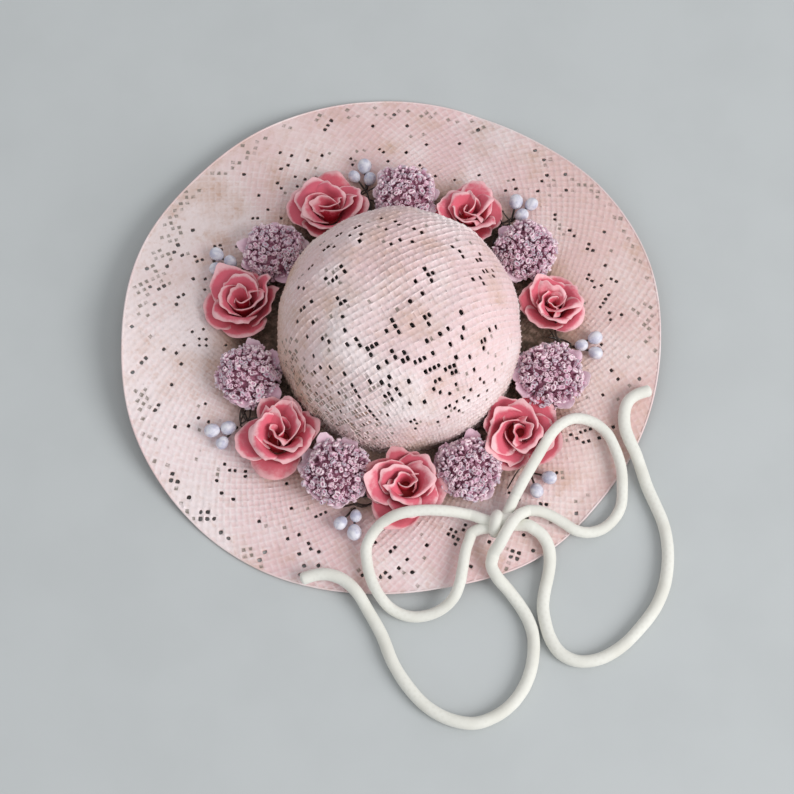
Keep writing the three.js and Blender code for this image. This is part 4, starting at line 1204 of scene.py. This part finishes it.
class STRAWHAT_OT_roses(bpy.types.Operator):
    """Add the paper roses: a heart and whorls of thin cupped petals with rippled frosted rims"""

    bl_idname = "strawhat.roses"
    bl_label = "Roses"

    def execute(self, context):
        settings = context.scene.straw_rose
        material = rose_finish(settings)
        for number, spot in enumerate(ROSES, 1):
            rng = np.random.default_rng(40 + number)
            node = f"rose_{number}"
            place = polar(spot.azimuth, spot.radius * MM)
            surface = self.rose(spot, settings, rng)
            points = surface.points.copy()
            turn = math.radians(spot.azimuth)
            c, s = math.cos(turn), math.sin(turn)
            points[:, :2] = points[:, :2] @ np.array([[c, s], [-s, c]]) + place
            points[:, 2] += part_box(node)[0].z
            add_piece(f"paper_{node}", surface._replace(points=points), material, [node])
        return {"FINISHED"}

    def rose(self, spot, settings, rng):
        """One rose about its own middle, with the crown towards -X, where its petals stand up."""
        parts = []
        slope = rng.uniform(-0.28, 0.28, 2)
        for level, whorl in enumerate(WHORLS):
            for index in range(whorl.count):
                evenly = spot.turn + whorl.first + index * 360 / whorl.count
                middle = math.radians(evenly + rng.uniform(-14, 14))
                squeeze = max(-math.cos(middle), 0) * (level > 1)
                lean, length = whorl.lean + 34 * squeeze, whorl.length * (1 - 0.1 * squeeze)
                pressed = whorl._replace(lean=lean, length=length)
                inner, outer, depth, rim = petal(
                    middle, pressed, spot.size, settings.paper, settings.ripple, rng,
                )
                slant = rng.normal(0, 0.08, 2) + slope * (level < 3)
                for sheet in (inner, outer):
                    sheet[..., :2] += slant * sheet[..., 2:]
                    apart = np.hypot(sheet[..., 0], sheet[..., 1])
                    outwards = smooth_step(-0.4, 0.5, sheet[..., 0] / np.maximum(apart, MM))
                    sheet[..., 2] *= 1 - 0.45 * outwards * smooth_step(5 * MM, 11 * MM, apart)
                frost = rng.uniform(-0.2, 0.8) * smooth_step(0.2, 1.0, depth)
                values = {
                    "depth": (depth * (0.7 + 0.1 * level)).ravel(),
                    "rim": np.maximum(rim, frost).ravel(),
                    "tint": np.full(rim.size, rng.uniform(0, 0.15) + (level == 3) * rng.uniform(0, 0.3)),
                    "heart": np.zeros(rim.size),
                }
                parts.append(paper_sheet(inner, outer, ROSE_LIFT, values))
        parts.append(self.heart(spot.size))
        return merge(parts)

    def heart(self, size):
        """The closed middle that carries the petals: a profile turned about the flower's axis."""
        profile = np.array(HEART) * MM * size
        sides = 16
        angle = np.arange(sides) * math.tau / sides
        points = np.stack([
            profile[:, :1] * np.cos(angle), profile[:, :1] * np.sin(angle), profile[:, 1:] + 0 * angle,
        ], -1)
        # Half of the heart colour: dull tint and painted shade.
        values = steady(len(profile) * sides, depth=0, rim=0, tint=0, heart=0.5, under=0)
        return Surface(points.reshape(-1, 3), ringed_faces(len(profile), sides), values)


class STRAWHAT_OT_poms(bpy.types.Operator):
    """Add the round flowers: a dark dome set all over with small curled stamens"""

    bl_idname = "strawhat.poms"
    bl_label = "Stamen flowers"

    def execute(self, context):
        settings = context.scene.straw_pom
        material = pom_finish(settings)
        for number, spot in enumerate(POMS, 1):
            rng = np.random.default_rng(60 + number)
            node = f"pom_{number}"
            low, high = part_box(node)
            middle = np.array([*polar(spot.azimuth, spot.radius * MM), low.z])
            radius = (high.x - low.x) / 2 * spot.size
            height = high.z - low.z
            surface = merge([
                self.core(radius, height), self.florets(radius, height, settings, rng),
                *self.skirt(spot, settings, rng),
            ])
            surface = surface._replace(points=surface.points + middle)
            add_piece(f"paper_{node}", surface, material, [node])
        return {"FINISHED"}

    def dome(self, radius, height, polar_angle, turn):
        """Points of the flower's dome and the directions out of it: an ellipse of revolution whose
        widest ring is a little under half of the height."""
        waist = 0.45 * height
        rise = np.where(np.cos(polar_angle) > 0, height - waist, waist)
        out = np.sin(polar_angle)
        up = np.cos(polar_angle)
        points = np.stack([radius * out * np.cos(turn), radius * out * np.sin(turn), waist + rise * up], -1)
        normal = np.stack([out * np.cos(turn) / radius, out * np.sin(turn) / radius, up / rise], -1)
        return points, normal / np.linalg.norm(normal, axis=-1, keepdims=True)

    def core(self, radius, height):
        """The dome under the stamens, in the dark colour of painted shade."""
        rings, sides = 9, 20
        polar_angle = np.linspace(math.pi - 0.35, 0.12, rings)[:, None] + np.zeros(sides)
        turn = np.arange(sides) * math.tau / sides + np.zeros((rings, 1))
        points, _ = self.dome(radius * 0.74, height * 0.8, polar_angle, turn)
        values = steady(rings * sides, tip=0, tint=0.6)
        return Surface(points.reshape(-1, 3), ringed_faces(rings, sides), values)

    def skirt(self, spot, settings, rng):
        """Small round petals under the stamens, of which the tips show round the flower. They are
        longer towards the crown."""
        sheets = []
        for index in range(settings.petals):
            middle = (index + rng.uniform(-0.5, 0.5)) * math.tau / settings.petals
            inwards = max(-math.cos(middle - math.radians(spot.azimuth)), 0)
            length = rng.uniform(3.8, 5.2) + 1.0 * inwards
            row = Whorl(0, 6.0, length, 5.0, rng.uniform(10, 60), rng.uniform(0, 60), 1.2, 30, 0.3, 0)
            inner, outer, depth, _ = petal(middle, row, spot.size, 0.4 * MM, 0.4 * MM, rng, 9, 8)
            lift = rng.uniform(0.8, 4.2) * MM
            # Darker towards the roots, under the stamens: painted shade.
            values = {"tip": (0.45 + 0.35 * depth).ravel(), "tint": np.full(depth.size, rng.uniform(0, 0.6))}
            sheets.append(paper_sheet(inner, outer, lift, values))
        return sheets

    def florets(self, radius, height, settings, rng):
        """Each stamen is a stalk with a round bead of rolled paper on it: a profile of radius and
        height turned in six sides. They stand on the dome on a sunflower spiral."""
        count = settings.florets
        number = np.arange(count) + 0.5
        share = number / count * 1.24
        polar_angle = np.arccos(1 - share) + rng.normal(0, 0.05, count)
        turn = number * math.pi * (3 - math.sqrt(5)) + rng.normal(0, 0.12, count)
        root, out = self.dome(radius - 1.5 * MM, height - 1.5 * MM, polar_angle, turn)
        root[:, 2] = np.maximum(root[:, 2] - 0.2 * MM, 0.8 * MM)
        bumps = np.sin(4 * turn + rng.uniform(0, 6)) * np.sin(5 * polar_angle + rng.uniform(0, 6))
        root += out * (0.9 * MM * bumps * np.sin(polar_angle))[:, None]
        out = out + rng.normal(0, 0.34, out.shape)
        out /= np.linalg.norm(out, axis=1)[:, None]
        side = np.cross(out, rng.normal(0, 1, out.shape))
        side /= np.linalg.norm(side, axis=1)[:, None]
        other = np.cross(out, side)
        ring_height = np.array([0.0, 0.66, 0.80, 0.95, 1.0, 0.88])
        ring_radius = np.array([0.35, 0.50, 0.95, 1.0, 0.72, 0.32])
        # Dark at the stalk's root and in the tip's hollow: painted shade.
        ring_tip = np.array([0.0, 0.30, 0.60, 0.95, 1.0, 0.2])
        sides = 6
        angle = np.arange(sides) * math.tau / sides
        size = (0.65 + 1.3 * rng.random(count) ** 2)[:, None, None]
        lobe = 1 + 0.25 * np.cos(2 * angle + rng.uniform(0, math.tau, (count, 1, 1)))
        wide = settings.floret_radius * size * ring_radius[None, :, None] * lobe
        length = settings.floret_length * rng.uniform(0.76, 1.14, count)
        tall = length[:, None, None] * ring_height[None, :, None]
        shift = -0.72 * settings.floret_length
        points = (
            root[:, None, None, :]
            + (tall + shift + 0 * wide)[..., None] * out[:, None, None, :]
            + (wide * np.cos(angle))[..., None] * side[:, None, None, :]
            + (wide * np.sin(angle))[..., None] * other[:, None, None, :]
        )
        points += 0.9 * MM * out[:, None, None, :]
        rings = len(ring_height)
        starts = (np.arange(count) * rings * sides)[:, None, None]
        faces = [(starts + block).reshape(-1, block.shape[1]) for block in ringed_faces(rings, sides)]
        tip = np.broadcast_to(ring_tip[None, :, None], (count, rings, sides))
        tint = np.broadcast_to(rng.random(count)[:, None, None], (count, rings, sides))
        return Surface(points.reshape(-1, 3), faces, {"tip": tip.ravel(), "tint": tint.ravel()})


class STRAWHAT_OT_buds(bpy.types.Operator):
    """Add the bud sprays: pale paper buds on dark wires that fan out from one foot"""

    bl_idname = "strawhat.buds"
    bl_label = "Buds"

    def execute(self, context):
        settings = context.scene.straw_bud
        material = bud_finish(settings)
        for number, spot in enumerate(SPRAYS, 1):
            rng = np.random.default_rng(80 + number)
            surface = self.spray(spot, settings, rng)
            add_piece(f"paper_buds_{number}", surface, material, [f"buds_{number}"])
        return {"FINISHED"}

    def spray(self, spot, settings, rng):
        middle = polar(spot.azimuth, spot.radius * MM)
        foot = polar(spot.azimuth, spot.radius * MM - SPRAY_FOOT)
        base = np.array([*foot, seat(foot, settings.wire) + settings.wire])
        parts = []
        for index in range(spot.buds):
            turn = math.radians(spot.turn + index * 360 / spot.buds)
            place = middle + BUD_SPREAD * np.array([math.cos(turn), math.sin(turn)])
            centre = np.array([*place, seat(place, settings.radius) + 0.3 * MM + settings.radius])
            direction = centre - base
            direction[2] *= 0.3
            direction /= np.linalg.norm(direction)
            parts.append(self.bud(centre, direction, settings, rng))
            parts.append(self.stem([base, (base + centre) / 2 + [0, 0, 0.5 * MM], centre], settings.wire))
        for index in range(settings.stems):
            turn = math.radians(spot.azimuth + rng.uniform(-115, 115))
            reach = rng.uniform(4, 9.5) * MM
            end = foot - rng.uniform(0, 5) * MM * (foot - AXIS) / np.linalg.norm(foot - AXIS)
            far = end - reach * np.array([math.cos(turn), math.sin(turn)])
            bend = (end + far) / 2 + rng.uniform(-1.5, 1.5, 2) * MM
            lift = rng.uniform(0.4, 3.0, 3) * MM
            route = [[*at, seat(at, MM) + up] for at, up in zip((end, bend, far), lift)]
            parts.append(self.stem(route, settings.wire * rng.uniform(0.6, 1.0)))
        return merge(parts)

    def stem(self, route, radius):
        """A thin dark wire along a route."""
        wire = tube(*smooth_path(route, 0.8 * MM), radius, sides=6, end_rings=2)
        return Surface(wire.points, wire.faces, steady(len(wire.points), seam=0, stem=1))

    def bud(self, centre, direction, settings, rng):
        """An egg whose section is drawn in along three seams, deeper towards its tip."""
        rings, sides = 14, 24
        size = settings.radius * rng.uniform(0.85, 1.1)
        angle = np.linspace(0.1, math.pi - 0.1, rings)[:, None]
        turn = (np.arange(sides) * math.tau / sides)[None, :]
        seam = np.clip(np.cos(3 * turn + 2.2 * np.cos(angle) + rng.uniform(0, math.tau)), 0, 1) ** 3
        groove = 1 - 0.07 * seam * np.sin(angle)
        radius = size * np.sin(angle) * groove * (1 - 0.08 * np.cos(angle))
        side = np.cross(direction, [0, 0, 1.0])
        side /= np.linalg.norm(side)
        up = np.cross(side, direction)
        points = (
            centre
            - (size * settings.stretch * np.cos(angle) + 0 * turn)[..., None] * direction
            + (radius * np.cos(turn))[..., None] * side
            + (radius * np.sin(turn))[..., None] * up
        )
        values = {"seam": (seam * np.ones_like(angle)).ravel(), "stem": np.zeros(rings * sides)}
        return Surface(points.reshape(-1, 3), ringed_faces(rings, sides), values)


class STRAWHAT_OT_stage(bpy.types.Operator):
    """Add the plain floor, the soft key light and the white light from all round"""

    bl_idname = "strawhat.stage"
    bl_label = "Stage"

    def execute(self, context):
        settings = context.scene.straw_stage
        half = settings.floor_size / 2
        mesh = bpy.data.meshes.new("floor")
        corners = [(-half, -half, 0), (half, -half, 0), (half, half, 0), (-half, half, 0)]
        mesh.from_pydata(corners, [], [(0, 1, 2, 3)])
        mesh.materials.append(floor_finish(settings))
        floor = bpy.data.objects.new("floor", mesh)
        context.scene.collection.objects.link(floor)

        data = bpy.data.lights.new("key", "AREA")
        data.shape = "DISK"
        data.size = settings.key_size
        data.energy = settings.key_power
        key = bpy.data.objects.new("key", data)
        level = math.cos(settings.key_elevation)
        towards = Vector((
            level * math.cos(settings.key_azimuth),
            level * math.sin(settings.key_azimuth),
            math.sin(settings.key_elevation),
        ))
        key.location = towards * settings.key_distance
        key.rotation_euler = (-towards).to_track_quat("-Z", "Y").to_euler()
        context.scene.collection.objects.link(key)

        world = bpy.data.worlds.new("studio")
        world.use_nodes = True
        background = world.node_tree.nodes["Background"]
        background.inputs["Color"].default_value = (0.97, 0.985, 1.0, 1.0)
        background.inputs["Strength"].default_value = settings.sky
        context.scene.world = world
        context.scene.view_settings.view_transform = "Standard"
        return {"FINISHED"}


SETTINGS = {
    "straw_stage": StageSettings,
    "straw_cloth": ClothSettings,
    "straw_rose": RoseSettings,
    "straw_pom": PomSettings,
    "straw_bud": BudSettings,
    "straw_cord": CordSettings,
}
OPERATORS = [
    STRAWHAT_OT_camera,
    STRAWHAT_OT_cords,
    STRAWHAT_OT_crown,
    STRAWHAT_OT_brim,
    STRAWHAT_OT_roses,
    STRAWHAT_OT_poms,
    STRAWHAT_OT_buds,
    STRAWHAT_OT_stage,
]


class STRAWHAT_PT_panel(bpy.types.Panel):
    """Sidebar panel that lists the pieces of the hat and their sizes and colours"""

    bl_idname = "STRAWHAT_PT_panel"
    bl_label = "Straw Hat"
    bl_space_type = "VIEW_3D"
    bl_region_type = "UI"
    bl_category = "Straw Hat"

    def draw(self, context):
        for operator in OPERATORS:
            self.layout.operator(operator.bl_idname)
        for name, group in SETTINGS.items():
            box = self.layout.box()
            box.label(text=group.__doc__)
            for key in group.__annotations__:
                box.prop(getattr(context.scene, name), key)


def register():
    for group in SETTINGS.values():
        bpy.utils.register_class(group)
    for name, group in SETTINGS.items():
        setattr(bpy.types.Scene, name, PointerProperty(type=group))
    for operator in OPERATORS:
        bpy.utils.register_class(operator)
    bpy.utils.register_class(STRAWHAT_PT_panel)


def unregister():
    bpy.utils.unregister_class(STRAWHAT_PT_panel)
    for operator in reversed(OPERATORS):
        bpy.utils.unregister_class(operator)
    for name in SETTINGS:
        delattr(bpy.types.Scene, name)
    for group in reversed(SETTINGS.values()):
        bpy.utils.unregister_class(group)


def main():
    register()
    bpy.ops.strawhat.camera()
    bpy.ops.strawhat.cords()
    bpy.ops.strawhat.crown()
    bpy.ops.strawhat.brim()
    bpy.ops.strawhat.roses()
    bpy.ops.strawhat.poms()
    bpy.ops.strawhat.buds()
    bpy.ops.strawhat.stage()


if __name__ == "__main__":
    main()
